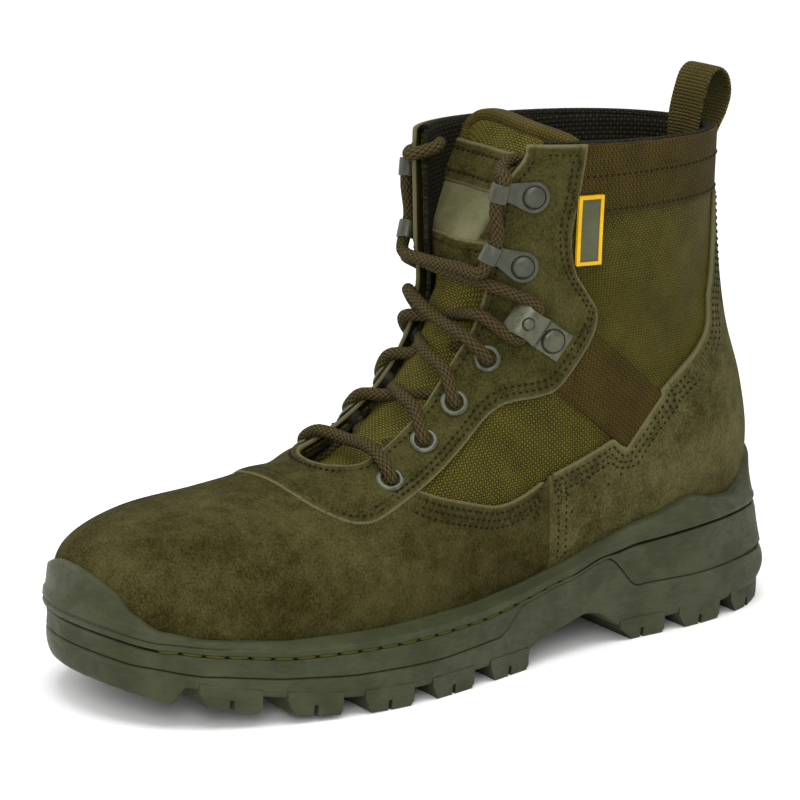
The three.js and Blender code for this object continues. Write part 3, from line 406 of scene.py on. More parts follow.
# A panel with thickness: a rounded top, a flat underside and a wall along its edge
def panelShell(cut, top, under, rounding=0.9, drop=0.35, puff=None, seam=None, cloth=None):
    rows, cols = cut["inside"].shape
    cols -= 1
    step = cut["step"]
    inside = cut["inside"][:, :cols]
    index = np.full((rows, cols), -1)
    index[inside] = np.arange(inside.sum())
    a, d = index[:-1], index[1:]
    b, c = np.roll(a, -1, 1), np.roll(d, -1, 1)
    cell = np.stack([a, b, c, d], -1).reshape(-1, 4)
    there = (cell >= 0).sum(1)
    quads = cell[there == 4]
    three = cell[there == 3]
    tris = three[three >= 0].reshape(-1, 3)
    at, turn, edge = (cut[k][:, :cols][inside] for k in ("at", "turn", "edge"))
    normal = formNormal(at, turn)
    point = cut["point"][:, :cols][inside]
    lift = top - drop * np.exp(-edge / rounding) + (0 if puff is None else puff(at, turn, point, edge))
    around = gridAround[::step, ::step][:, :cols][inside]
    uv = np.stack([around, point[:, 2]], -1) if cloth is None else cloth(point)
    needle = np.full(len(point), 20.0) if seam is None else seam[::step, ::step][:, :cols][inside]
    shell = Shell()
    shell.add(point + normal * lift[:, None], [quads, tris], uv=uv, edge=edge, seam=needle)
    count = len(point)
    shell.add(point + normal * under, [quads[:, ::-1], tris[:, ::-1]], uv=uv, edge=edge, seam=20.0)
    sides = np.concatenate([quads[:, [0, 1]], quads[:, [1, 2]], quads[:, [2, 3]], quads[:, [3, 0]],
                            tris[:, [0, 1]], tris[:, [1, 2]], tris[:, [2, 0]]])
    key = sides[:, 0] * count + sides[:, 1]
    twin = sides[:, 1] * count + sides[:, 0]
    rim = sides[~np.isin(key, twin)]
    shell.faces += np.stack([rim[:, 0], rim[:, 0] + count, rim[:, 1] + count, rim[:, 1]], -1).tolist()
    shell.corners.append(np.repeat(uv[rim[:, 0]], 4, 0))
    return shell


# Colours are given as they look on screen under the studio's light, which brightens them by this gain
studioGain = 1.5


def colour(red, green, blue):
    return tuple((c / 12.92 if c <= 0.04045 else ((c + 0.055) / 1.055) ** 2.4) / studioGain
                 for c in (red / 255, green / 255, blue / 255)) + (1.0,)


# Nodes placed and linked in one tree; an input is a plain value or the socket that feeds it
class Tree:
    def __init__(self, tree):
        self.nodes, self.links = tree.nodes, tree.links

    def place(self, kind, inputs=None, **settings):
        node = self.nodes.new(kind)
        for key, value in settings.items():
            setattr(node, key, value)
        for key, value in (inputs or {}).items():
            self.feed(node.inputs[key], value)
        return node

    def feed(self, socket, value):
        if isinstance(value, bpy.types.NodeSocket):
            self.links.new(value, socket)
        else:
            socket.default_value = value

    def math(self, operation, a, b=0.0, clamp=False):
        return self.place("ShaderNodeMath", {0: a, 1: b}, operation=operation, use_clamp=clamp).outputs[0]

    def blend(self, factor, a, b, kind="MIX"):
        node = self.place("ShaderNodeMix", {0: factor, 6: a, 7: b}, data_type="RGBA", blend_type=kind)
        return node.outputs[2]

    def ramp(self, value, low, high, fromValue=0.0, toValue=1.0):
        node = self.place("ShaderNodeMapRange", {0: value, 1: low, 2: high, 3: fromValue, 4: toValue},
                          interpolation_type="SMOOTHSTEP")
        return node.outputs[0]

    def noise(self, vector, scale, detail=2.0, rough=0.5, stretch=None):
        if stretch:
            vector = self.place("ShaderNodeMapping", {"Vector": vector, "Scale": stretch}).outputs[0]
        return self.place("ShaderNodeTexNoise", {"Vector": vector, "Scale": scale, "Detail": detail,
                                                 "Roughness": rough}).outputs[0]

    def attribute(self, name):
        return self.place("ShaderNodeAttribute", attribute_name=name).outputs["Fac"]


def newGroup(name, inputs, outputs):
    group = bpy.data.node_groups.new(name, "ShaderNodeTree")
    for label, kind, value in inputs:
        socket = group.interface.new_socket(name=label, in_out="INPUT", socket_type="NodeSocket" + kind)
        if value is not None:
            socket.default_value = value
    for label, kind in outputs:
        group.interface.new_socket(name=label, in_out="OUTPUT", socket_type="NodeSocket" + kind)
    tree = Tree(group)
    return group, tree, tree.place("NodeGroupInput").outputs, tree.place("NodeGroupOutput").inputs


# Nap of brushed suede: fine fibres over soft patches, a pale cut edge, and painted shade in the troughs that the needle
# rows pull beside it
def makeNap():
    group, tree, given, out = newGroup("suedeNap", [
        ("Place", "Vector", None), ("Edge", "Float", 20.0), ("Seam", "Float", 99.0), ("Dark", "Color", (0, 0, 0, 1)),
        ("Light", "Color", (1, 1, 1, 1)), ("Cut", "Color", (1, 1, 1, 1)), ("Wear", "Float", 0.5)],
        [("Color", "Color"), ("Height", "Float")])
    broad = tree.noise(given["Place"], 34, 3.0, 0.55)
    patch = tree.noise(given["Place"], 170, 4.0, 0.6)
    fibreA = tree.noise(given["Place"], 2100, 2.0, 0.6, (1, 1, 0.35))
    fibreB = tree.noise(given["Place"], 1500, 2.0, 0.6, (0.4, 1, 1))
    fibre = tree.math("MULTIPLY", tree.math("ADD", fibreA, fibreB), 0.5)
    brushed = tree.math("MULTIPLY", tree.math("SUBTRACT", broad, 0.5), 1.3)
    mottled = tree.math("MULTIPLY", tree.math("SUBTRACT", patch, 0.5), 0.9)
    hairs = tree.math("MULTIPLY", tree.math("SUBTRACT", fibre, 0.5), 2.2)
    tone = tree.math("ADD", tree.math("ADD", given["Wear"], brushed), tree.math("ADD", mottled, hairs), clamp=True)
    shade = tree.blend(tone, given["Dark"], given["Light"])
    frayed = tree.math("ADD", given["Edge"], tree.math("MULTIPLY", tree.math("SUBTRACT", fibre, 0.5), 3.0))
    cutMask = tree.ramp(frayed, 1.3, 0.2)
    shade = tree.blend(tree.math("MULTIPLY", cutMask, 0.85), shade, given["Cut"])
    # Painted shade: the suede darkens towards a needle row, where the pulled trough lies in shade; the same mask also
    # dents the bump
    near = tree.ramp(tree.math("ABSOLUTE", given["Seam"]), 0.9, 0.1)
    shade = tree.blend(tree.math("MULTIPLY", near, 0.35), shade, colour(30, 28, 14))
    tree.feed(out["Color"], shade)
    height = tree.math("ADD", tree.math("MULTIPLY", fibre, 0.45), tree.math("MULTIPLY", patch, 0.5))
    tree.feed(out["Height"], tree.math("SUBTRACT", height, tree.math("MULTIPLY", near, 0.55)))
    return group


# Plain weave: threads cross over and under where the product of two sines changes sign
def makeWeave():
    group, tree, given, out = newGroup("plainWeave", [
        ("Cloth", "Vector", None), ("Across", "Float", 1.0), ("Along", "Float", 1.0), ("Bias", "Float", 0.0)],
        [("Height", "Float"), ("Gap", "Float"), ("Over", "Float")])
    parts = tree.place("ShaderNodeSeparateXYZ", {0: given["Cloth"]}).outputs
    bias = tree.math("MULTIPLY", parts[1], given["Bias"])
    u = tree.math("DIVIDE", tree.math("ADD", parts[0], bias), given["Across"])
    v = tree.math("DIVIDE", parts[1], given["Along"])
    waveU = tree.math("SINE", tree.math("MULTIPLY", u, math.pi))
    waveV = tree.math("SINE", tree.math("MULTIPLY", v, math.pi))
    product = tree.math("MULTIPLY", waveU, waveV)
    round_ = tree.math("POWER", tree.math("ABSOLUTE", product), 0.6)
    tree.feed(out["Height"], round_)
    tree.feed(out["Gap"], tree.ramp(round_, 0.45, 0.05))
    tree.feed(out["Over"], tree.ramp(product, -0.2, 0.2))
    return group


# Fine grain and soft blotches of moulded rubber, with dust in a share of the places
def makeGrain():
    group, tree, given, out = newGroup("mouldedGrain", [("Place", "Vector", None), ("Size", "Float", 900.0)],
                                       [("Height", "Float"), ("Tone", "Float")])
    fine = tree.noise(given["Place"], given["Size"], 3.0, 0.6)
    soft = tree.noise(given["Place"], 60, 4.0, 0.6)
    streak = tree.noise(given["Place"], 240, 3.0, 0.6, (1, 1, 4))
    tree.feed(out["Height"], fine)
    blotch = tree.math("ADD", tree.math("MULTIPLY", soft, 0.7), tree.math("MULTIPLY", streak, 0.3))
    tree.feed(out["Tone"], tree.ramp(blotch, 0.35, 0.65))
    return group


napGroup, weaveGroup, grainGroup = makeNap(), makeWeave(), makeGrain()


def newMaterial(name, roughness=0.8, specular=0.5):
    material = bpy.data.materials.new(name)
    material.use_nodes = True
    tree = Tree(material.node_tree)
    shader = tree.nodes["Principled BSDF"]
    shader.inputs["Roughness"].default_value = roughness
    shader.inputs["Specular IOR Level"].default_value = specular
    return material, tree, shader


def useGroup(tree, group, inputs):
    node = tree.place("ShaderNodeGroup", node_tree=group)
    for key, value in inputs.items():
        tree.feed(node.inputs[key], value)
    return node.outputs


def bumpOn(tree, shader, height, distance, strength=1.0):
    bump = tree.place("ShaderNodeBump", {"Height": height, "Distance": distance, "Strength": strength})
    tree.feed(shader.inputs["Normal"], bump.outputs[0])


def suedeMaterial(name, dark, light, cut, wear=0.42):
    material, tree, shader = newMaterial(name, 0.95, 0.06)
    place = tree.place("ShaderNodeTexCoord").outputs["Object"]
    nap = useGroup(tree, napGroup, {"Place": place, "Edge": tree.attribute("edge"), "Seam": tree.attribute("seam"),
                                    "Dark": dark, "Light": light, "Cut": cut, "Wear": wear})
    tree.feed(shader.inputs["Base Color"], nap["Color"])
    bumpOn(tree, shader, nap["Height"], 0.0006, 0.8)
    return material


def wovenMaterial(name, dark, light, across, along, depth, bias=0.0, roughness=0.8, ribs=None):
    material, tree, shader = newMaterial(name, roughness, 0.08)
    cloth = tree.place("ShaderNodeUVMap", uv_map="cloth").outputs[0]
    place = tree.place("ShaderNodeTexCoord").outputs["Object"]
    weave = useGroup(tree, weaveGroup, {"Cloth": cloth, "Across": across, "Along": along, "Bias": bias})
    uneven = tree.noise(place, 90, 3.0)
    yarn = tree.noise(place, 1300, 2.0)
    # Painted light and shade of the weave: the colour is lighter on the thread crowns and on the threads lying over,
    # darker in the gaps between threads
    crossed = tree.math("MULTIPLY", weave["Height"], tree.math("ADD", 0.45, tree.math("MULTIPLY", weave["Over"], 0.45)))
    tone = tree.math("ADD", crossed,
                     tree.math("ADD", tree.math("MULTIPLY", tree.math("SUBTRACT", uneven, 0.5), 0.45),
                               tree.math("MULTIPLY", tree.math("SUBTRACT", yarn, 0.5), 0.6)), clamp=True)
    shade = tree.blend(tone, dark, light)
    height = weave["Height"]
    if ribs:
        parts = tree.place("ShaderNodeSeparateXYZ", {0: cloth}).outputs
        wave = tree.math("ABSOLUTE", tree.math("SINE", tree.math("MULTIPLY", parts[ribs[0]], math.pi / ribs[1])))
        # Painted shade in the grooves between the ribs, where the same wave sinks the bump
        shade = tree.blend(tree.ramp(wave, 0.45, 0.0, 0.0, 0.6), shade, colour(24, 21, 8))
        height = tree.math("ADD", tree.math("MULTIPLY", height, 0.45), tree.math("MULTIPLY", wave, 0.9))
    tree.feed(shader.inputs["Base Color"], shade)
    bumpOn(tree, shader, height, depth, 0.9)
    return material


def rubberMaterial(name, dark, light, roughness=0.62, size=900.0, grain=0.00012):
    material, tree, shader = newMaterial(name, roughness, 0.16)
    place = tree.place("ShaderNodeTexCoord").outputs["Object"]
    moulded = useGroup(tree, grainGroup, {"Place": place, "Size": size})
    tree.feed(shader.inputs["Base Color"], tree.blend(moulded["Tone"], dark, light))
    tree.feed(shader.inputs["Roughness"], tree.ramp(moulded["Tone"], 0.0, 1.0, roughness + 0.06, roughness - 0.08))
    bumpOn(tree, shader, moulded["Height"], grain, 0.6)
    return material


def metalMaterial(name, dark, light, roughness=0.38):
    material, tree, shader = newMaterial(name, roughness, 0.5)
    place = tree.place("ShaderNodeTexCoord").outputs["Object"]
    worn = tree.noise(place, 260, 3.0, 0.5)
    speck = tree.noise(place, 2400, 2.0)
    tone = tree.ramp(tree.math("ADD", worn, tree.math("MULTIPLY", speck, 0.25)), 0.5, 0.78)
    tree.feed(shader.inputs["Base Color"], tree.blend(tone, dark, light))
    tree.feed(shader.inputs["Roughness"], tree.ramp(tone, 0.0, 1.0, roughness, roughness + 0.15))
    shader.inputs["Metallic"].default_value = 0.45
    bumpOn(tree, shader, speck, 0.00005, 0.4)
    return material


def threadMaterial(name, dark, light):
    material, tree, shader = newMaterial(name, 0.75, 0.1)
    place = tree.place("ShaderNodeTexCoord").outputs["Object"]
    twist = tree.noise(place, 3000, 2.0)
    tree.feed(shader.inputs["Base Color"], tree.blend(twist, dark, light))
    bumpOn(tree, shader, twist, 0.0001, 0.6)
    return material


def braidMaterial():
    material, tree, shader = newMaterial("laceBraid", 0.85, 0.08)
    hollow = tree.attribute("hollow")
    place = tree.place("ShaderNodeTexCoord").outputs["Object"]
    parts = tree.place("ShaderNodeSeparateXYZ", {0: tree.place("ShaderNodeUVMap", uv_map="cloth").outputs[0]}).outputs
    yarn = tree.noise(place, 2200, 3.0)
    around, along = tree.math("MULTIPLY", parts[0], math.pi / 1.885), tree.math("MULTIPLY", parts[1], math.pi / 2.7)
    leftWound = tree.math("ABSOLUTE", tree.math("SINE", tree.math("ADD", around, along)))
    rightWound = tree.math("ABSOLUTE", tree.math("SINE", tree.math("SUBTRACT", around, along)))
    strand = tree.math("POWER", tree.math("MULTIPLY", leftWound, rightWound), 0.6)
    shade = tree.blend(yarn, colour(54, 45, 20), colour(102, 90, 56))
    # Painted shade: darker in the creases between the strands and, by the hollow attribute, in the cord's hollows where
    # its radius dips
    shade = tree.blend(tree.ramp(strand, 0.5, 0.05), shade, colour(20, 16, 6))
    shade = tree.blend(tree.math("MULTIPLY", hollow, 0.3), shade, colour(20, 17, 7))
    tree.feed(shader.inputs["Base Color"], shade)
    bumpOn(tree, shader, tree.math("ADD", strand, tree.math("MULTIPLY", yarn, 0.3)), 0.0006, 0.9)
    return material


suedeLook = suedeMaterial("vampSuede", colour(43, 38, 8), colour(90, 85, 48), colour(112, 106, 74), 0.42)
counterLook = suedeMaterial("counterSuede", colour(51, 46, 14), colour(110, 105, 66), colour(112, 106, 74), 0.45)
eyestayLook = suedeMaterial("eyestaySuede", colour(44, 40, 11), colour(92, 88, 50), colour(118, 112, 80), 0.42)
nylonLook = wovenMaterial("nylonCloth", colour(36, 31, 2), colour(116, 108, 36), 1.0, 0.95, 0.0004, roughness=0.6)
tongueLook = wovenMaterial("tongueCloth", colour(40, 35, 4), colour(134, 126, 46), 1.1, 0.95, 0.00045, roughness=0.6)
bandLook = wovenMaterial("bandWebbing", colour(36, 27, 3), colour(100, 87, 34), 0.85, 0.9, 0.0004, 0.25, ribs=(0, 1.7))
strapLook = wovenMaterial("strapWebbing", colour(36, 27, 3), colour(98, 84, 32), 0.8, 0.9, 0.0003, 0.3, ribs=(1, 1.6))
loopLook = wovenMaterial("loopWebbing", colour(44, 37, 10), colour(114, 103, 50), 1.0, 0.8, 0.0004, 0.2, ribs=(1, 1.3))
bindingLook = wovenMaterial("bindingTape", colour(44, 37, 8), colour(116, 102, 42), 1.2, 0.8, 0.0004, ribs=(1, 1.3))
liningLook = wovenMaterial("liningMesh", colour(14, 14, 8), colour(56, 54, 38), 1.5, 1.7, 0.0005, roughness=0.9)
insoleLook = rubberMaterial("insoleCloth", colour(12, 12, 8), colour(34, 33, 24), 0.9)
randLook = rubberMaterial("randRubber", colour(58, 62, 38), colour(72, 76, 51), 0.55)
midsoleLook = rubberMaterial("midsoleFoam", colour(57, 61, 37), colour(71, 75, 50), 0.6)
outsoleLook = rubberMaterial("outsoleRubber", colour(58, 62, 39), colour(73, 77, 53), 0.6)
hookLook = metalMaterial("hookMetal", colour(68, 70, 56), colour(84, 85, 69), 0.34)
lockLook = metalMaterial("lockMetal", colour(82, 83, 62), colour(96, 97, 75), 0.26)
eyeletLook = metalMaterial("eyeletMetal", colour(72, 75, 56), colour(100, 103, 82), 0.3)
# Near-black finish for the painted shade round the bases of the rivets and the lock's pin
rivetShadeLook = metalMaterial("rivetShadeMaterial", colour(14, 14, 9), colour(30, 30, 20), 0.6)
laceLook = braidMaterial()
# Sewing thread, made near-black so its short stitches also stand in for the shaded needle holes: partly thread colour,
# partly painted shade
threadLook = threadMaterial("sewingThread", colour(15, 13, 4), colour(40, 36, 16))
weltThreadLook = threadMaterial("weltThread", colour(56, 56, 14), colour(96, 94, 34))
badgeLook = rubberMaterial("plainBadge", colour(92, 90, 60), colour(112, 110, 78), 0.6, 700.0, 0.00006)
tagLook = rubberMaterial("plainTag", colour(82, 84, 60), colour(94, 96, 70), 0.5, 700.0, 0.00006)
borderLook = rubberMaterial("tagBorder", colour(232, 180, 16), colour(246, 196, 26), 0.5, 700.0, 0.00006)
print("materials", len(bpy.data.materials))
# How far a place on the skin lies from a field's edge, measured along the surface
def surfaceDistance(f):
    fi, fj = np.gradient(f)
    gi = np.linalg.norm(np.gradient(gridPoint, axis=0), axis=-1)
    gj = np.linalg.norm(np.gradient(gridPoint, axis=1), axis=-1)
    return -f / np.clip(np.hypot(fi / np.maximum(gi, 0.05), fj / np.maximum(gj, 0.05)), 0.35, 2)


# Chains of places on the skin where a value passes a level, joined from the grid's crossed edges
def contour(values, level):
    s = values - level
    rows, cols = s.shape
    i, j = np.meshgrid(np.arange(rows), np.arange(cols), indexing="ij")
    crossH = (s[:, :-1] > 0) != (s[:, 1:] > 0)
    crossV = (s[:-1] > 0) != (s[1:] > 0)
    tH = s[:, :-1] / np.where(crossH, s[:, :-1] - s[:, 1:], 1)
    tV = s[:-1] / np.where(crossV, s[:-1] - s[1:], 1)
    idH, idV = i[:, :-1] * cols + j[:, :-1], rows * cols + i[:-1] * cols + j[:-1]
    spot = {}
    for ids, cross, t, down in ((idH, crossH, tH, 0), (idV, crossV, tV, 1)):
        for key, a, b, share in zip(ids[cross], *np.nonzero(cross), t[cross]):
            spot[key] = (a + share * down, b + share * (1 - down))
    sides = np.stack([idH[:-1], idV[:, 1:], idH[1:], idV[:, :-1]], -1)
    crossed = np.stack([crossH[:-1], crossV[:, 1:], crossH[1:], crossV[:, :-1]], -1)
    beside = {}
    for keys, there in zip(sides[crossed.any(-1)], crossed[crossed.any(-1)]):
        hit = keys[there]
        for a, b in zip(hit[::2], hit[1::2]):
            beside.setdefault(a, []).append(b)
            beside.setdefault(b, []).append(a)
    chains, seen = [], set()
    for start in sorted(beside, key=lambda k: len(beside[k])):
        if start in seen:
            continue
        chain, here = [start], start
        seen.add(start)
        while True:
            onward = [k for k in beside[here] if k not in seen]
            if not onward:
                break
            here = onward[0]
            seen.add(here)
            chain.append(here)
        if len(chain) > 3:
            place = np.array([spot[k] for k in chain])
            chains.append(bilinear(place))
    return chains


def bilinear(place):
    a = np.clip(place[:, 0], 0, skin["rows"] - 1.001)
    b = np.clip(place[:, 1], 0, skin["turns"] - 0.001)
    i, j = a.astype(int), b.astype(int)
    u, v = a - i, b - j
    at = gridAt[i, j] * (1 - u) + gridAt[i + 1, j] * u
    turn = gridTurn[i, j] * (1 - v) + gridTurn[i, j + 1] * v
    return np.stack([at, turn], -1)


# A sewn stitch: a short thread with five rings of six, its ends pulled into the cloth
def stitchShape(length, thick, sink=0.45):
    along = np.array([-0.5, -0.36, 0.0, 0.36, 0.5]) * length
    radius = np.array([0.45, 0.9, 1.0, 0.9, 0.45]) * thick / 2
    lift = np.array([-sink, -0.05, 0.08, -0.05, -sink])
    turn = np.arange(6) * np.pi / 3
    rings = np.stack([np.repeat(along[:, None], 6, 1), radius[:, None] * np.cos(turn),
                      radius[:, None] * np.sin(turn) + lift[:, None]], -1).reshape(-1, 3)
    j = np.arange(6)
    quads = np.concatenate([np.stack([r * 6 + j, r * 6 + (j + 1) % 6, (r + 1) * 6 + (j + 1) % 6, (r + 1) * 6 + j], -1)
                            for r in range(4)])
    ends = np.array([[0, 1, 2, 3], [0, 3, 4, 5], [27, 26, 25, 24], [29, 28, 27, 24]])
    return rings, np.concatenate([quads, ends])


# Copies of a small shape at many places, each with its own ahead, aside and outward directions
def addCopies(shell, shape, origin, ahead, out):
    points, faces = shape
    aside = unit(np.cross(out, ahead))
    ahead = np.cross(aside, out)
    whole = (origin[:, None] + points[None, :, :1] * ahead[:, None] + points[None, :, 1:2] * aside[:, None]
             + points[None, :, 2:] * out[:, None])
    every = (faces[None] + np.arange(len(origin))[:, None, None] * len(points)).reshape(-1, faces.shape[1])
    shell.add(whole.reshape(-1, 3), [every])


def lengthAlong(path):
    return np.concatenate([[0], np.cumsum(np.linalg.norm(np.diff(path, axis=0), axis=1))])


sewing = {"length": 1.3, "space": 1.3, "thick": 0.64}


# Stitches along one chain of places, at a height over the skin, kept where the test holds
def sewAlong(shell, chain, height, keep, length=None, space=None):
    length, space = length or sewing["length"], space or sewing["space"]
    at, turn = chain[:, 0], chain[:, 1]
    points = onForm(at, turn, height)
    run = np.concatenate([[0], np.cumsum(np.linalg.norm(np.diff(points, axis=0), axis=1))])
    count = int(run[-1] / (length + space))
    if count < 1:
        return 0
    middle = (np.arange(count) + 0.5) * run[-1] / count

    def along(distance):
        a, t = np.interp(distance, run, at), np.interp(distance, run, turn)
        return onForm(a, t, height), a, t
    origin, a, t = along(middle)
    ahead = unit(along(middle + 0.5)[0] - along(middle - 0.5)[0])
    there = keep(a, t, origin)
    if there.any():
        addCopies(shell, stitchShape(length, sewing["thick"]), origin[there], ahead[there], formNormal(a, t)[there])
    return int(there.sum())


# Soft folds, as lines in the side view: x, z, x, z, half width and depth in millimetres, shown on both sides
folds = {
    "suede": [(206, 78, 196, 58, 6.0, -0.9), (196, 76, 187, 60, 5.0, 0.6), (214, 74, 209, 56, 5.0, 0.5),
              (176, 66, 160, 50, 7.0, -0.6), (60, 92, 30, 84, 6.0, -0.7), (62, 104, 34, 98, 6.0, 0.5)],
    "cloth": [(100, 128, 62, 118, 6.0, -0.8), (96, 140, 60, 132, 6.0, 0.7), (150, 92, 128, 76, 6.0, -0.7),
              (160, 84, 140, 68, 5.0, 0.5), (98, 150, 74, 146, 5.0, -0.4)],
}


def foldLift(point, kind):
    lift = np.zeros(point.shape[:-1])
    for x0, z0, x1, z1, width, depth in folds[kind]:
        along = np.array([x1 - x0, z1 - z0], float)
        t = ((point[..., 0] - x0) * along[0] + (point[..., 2] - z0) * along[1]) / (along @ along)
        off = np.hypot(point[..., 0] - x0 - along[0] * np.clip(t, 0, 1), point[..., 2] - z0 - along[1] * np.clip(t, 0, 1))
        lift += depth * np.exp(-(off / width) ** 2)
    return lift


def inThroat(at, turn, point, margin=1.5):
    return throatDepth(at, turn, point) > -margin


def onEyestay(point, margin=0.0):
    return sideDistance(eyestayOutline, point[:, 0], point[:, 2]) < margin


def clearOfRand(point):
    return point[:, 2] > randTopZ(point[:, 0]) + 1.5


# Needle rows: the line that they follow, their distances from it, their height and where they show
outerLine = surfaceDistance(sideDistance(eyestayOutline, gridPoint[..., 0], gridPoint[..., 2]))
throatLine = surfaceDistance(throatDepth(gridAt, gridTurn, gridPoint))
counterLine = surfaceDistance(counterField(gridAt, gridTurn, gridPoint))
vampLine = surfaceDistance(sideDistance(vampOutline, gridPoint[..., 0], gridPoint[..., 2]))
bandLine = surfaceDistance(sideDistance(bandOutline, gridPoint[..., 0], gridPoint[..., 2]))
needleRows = [
    (outerLine, [2.8, 5.2], 0.62, lambda a, t, p: ~inThroat(a, t, p) & (p[:, 0] < 196) & (p[:, 2] < 188)),
    (outerLine, [3.0], 0.62, lambda a, t, p: ~inThroat(a, t, p, 5) & (p[:, 0] >= 196)),
    (throatLine, [3.4], 0.62, lambda a, t, p: onEyestay(p, -4) & (p[:, 2] < 187)),
    (counterLine, [2.8, 5.4, 8.0], 0.1, lambda a, t, p: (p[:, 2] > 62) & (p[:, 0] < 119) & clearOfRand(p)
     & (sideDistance(bandOutline, p[:, 0], p[:, 2]) > 2)),
    (vampLine, [2.8, 5.4, 8.0], 0.1, lambda a, t, p: (p[:, 0] > 124) & (p[:, 2] > 54) & ~onEyestay(p, 3)
     & ~inThroat(a, t, p)),
    (vampLine, [-4.0, -7.5], 0.1, lambda a, t, p: (p[:, 0] < 119) & (p[:, 2] < 64) & clearOfRand(p)),
    (bandLine, [1.6, 14.5], -0.45, lambda a, t, p: ~onEyestay(p, 1.5)),
]
stitches = Shell()
sewn = 0
for line, offsets, height, keep in needleRows:
    for offset in offsets:
        for chain in contour(line, offset):
            sewn += sewAlong(stitches, chain, height, keep)
for side in (1, -1):
    edge = np.stack([np.full(400, 17.8), np.linspace(0.3 * np.pi, 0.99 * np.pi, 400) * side], -1)
    sewn += sewAlong(stitches, edge, 0.62, lambda a, t, p: eyestayField(a, t, p) < -4)
print("stitches", sewn)
stitchPiece = finishMesh("seamStitches", stitches, threadLook)


# Distance to the nearest needle row of a line, for the trough that the thread pulls, drawn as a dent and as painted
# shade
def seamTrough(line, offsets):
    return np.min([np.abs(line - offset) for offset in offsets], 0)


eyestaySeam = np.minimum(seamTrough(outerLine, [2.8, 5.2]), seamTrough(throatLine, [3.4]))
counterSeam = np.where((gridPoint[..., 2] > 62), seamTrough(counterLine, [2.8, 5.4, 8.0]), 20)
vampSeamLine = np.where(gridPoint[..., 2] > 54, seamTrough(vampLine, [2.8, 5.4, 8.0]), 20)

# The nylon stops a few millimetres under the suede
def shownNylon(at, turn, point):
    hidden = np.minimum(np.minimum(vampField(at, turn, point), counterField(at, turn, point)),
                        eyestayField(at, turn, point))
    return np.maximum(baseField(at, turn, point), -hidden - 6)


panels = [
    ("vampSuede", vampField, suedeLook, 0.0, -1.75, "suede", ["vamp"], vampSeamLine, "suede"),
    ("counterSuede", counterField, counterLook, 0.0, -1.75, "suede", ["heel_counter"], counterSeam, "suede"),
    ("eyestaySuede", eyestayField, eyestayLook, 0.5, -1.2, "suede", ["eyestay"], eyestaySeam, "suede"),
    ("collarWebbing", bandField, bandLook, -0.6, -1.8, "webbing", ["collar_band"], None, None),
    ("strapWebbing", strapField, strapLook, -0.6, -1.8, "webbing", ["strap_outer", "strap_inner"], None, "cloth"),
    ("nylonUpper", shownNylon, nylonLook, -1.9, -3.3, "nylon", ["upper"], None, "cloth"),
]
for name, field, look, top, under, slot, nodes, seam, fold in panels:
    cut = cutPanel(field)
    if name == "eyestaySuede":
        cut["edge"] = np.minimum(cut["edge"], (18.0 - cut["at"]) * 16)
    if slot == "suede" and name != "eyestaySuede":
        cut["edge"] = np.where(np.abs(cut["point"][..., 0] - vampSeam) < 2.5, np.maximum(cut["edge"], 1.3), cut["edge"])

    def puff(at, turn, point, edge):
        return foldLift(point, fold) if fold else 0.0
    cloth = None
    if name == "strapWebbing":
        cloth = lambda p: np.stack([(p[:, [0, 2]] - strap["top"]) @ strapAlong,
                                    (p[:, [0, 2]] - strap["top"]) @ strapAcross], -1)
    if name == "nylonUpper":
        around = gridAround[:, :-1][cut["inside"][:, :-1]]
        low = lambda p: ((p[:, [0, 2]] - strap["top"]) @ strapAcross > 12) & (p[:, 1] > 0)
        cloth = lambda p: np.where(low(p)[:, None], p[:, [0, 2]] * [0.95, 1.0], np.stack([around, p[:, 2]], -1))
    piece = finishMesh(name, panelShell(cut, top, under, puff=puff, seam=seam, cloth=cloth), look, nodes)
    print(name, len(piece.data.polygons))
# The sole's outline as a closed loop with outward directions
soleStations = 420


def soleLoop(count=soleStations):
    outer = outlineRows[:, [0, 1]]
    inner = outlineRows[1:-1, [0, 2]][::-1]
    ring = np.vstack([outer, inner]) * [boot["length"], boot["soleWidth"]]
    more = np.vstack([ring[-1:], ring, ring[:2]])
    t = np.linspace(0, len(ring), 4001)[:-1]
    i = t.astype(int)
    s = (t - i)[:, None]
    p0, p1, p2, p3 = more[i], more[i + 1], more[i + 2], more[i + 3]
    fine = 0.5 * (2 * p1 + (p2 - p0) * s + (2 * p0 - 5 * p1 + 4 * p2 - p3) * s ** 2 + (3 * p1 - p0 - 3 * p2 + p3) * s ** 3)
    run = np.concatenate([[0], np.cumsum(np.linalg.norm(np.diff(np.vstack([fine, fine[:1]]), axis=0), axis=1))])
    tip = run[np.argmax(fine[:, 0])]
    even = np.concatenate([np.linspace(0, tip, count // 2 + 1)[:-1], np.linspace(tip, run[-1], count // 2 + 1)[:-1]])
    loop = np.stack([np.interp(even, run, np.append(fine[:, c], fine[0, c])) for c in range(2)], -1)
    ahead = unit(np.roll(loop, -1, 0) - np.roll(loop, 1, 0))
    out = np.stack([-ahead[:, 1], ahead[:, 0]], -1)
    return loop, out


loopPoint, loopOut = soleLoop()


# Rings round the sole: for each level a height and a distance outwards, each a number or one for each station
def soleRings(levels):
    rings = []
    for z, grow in levels:
        flat = loopPoint + loopOut * np.broadcast_to(grow, len(loopPoint))[:, None]
        rings.append(np.concatenate([flat, np.broadcast_to(z, len(loopPoint))[:, None]], 1))
    return np.array(rings)


def closeAcross(shell, start, ring):
    count = soleStations
    half = count // 2
    for i in range(half - 1):
        a, b = start + i, start + i + 1
        c, d = start + count - i - 1, start + (count - i) % count
        shell.cap([a, b, c] if i == 0 else [a, b, c, d])
    shell.cap([start + half - 1, start + half, start + half + 1])


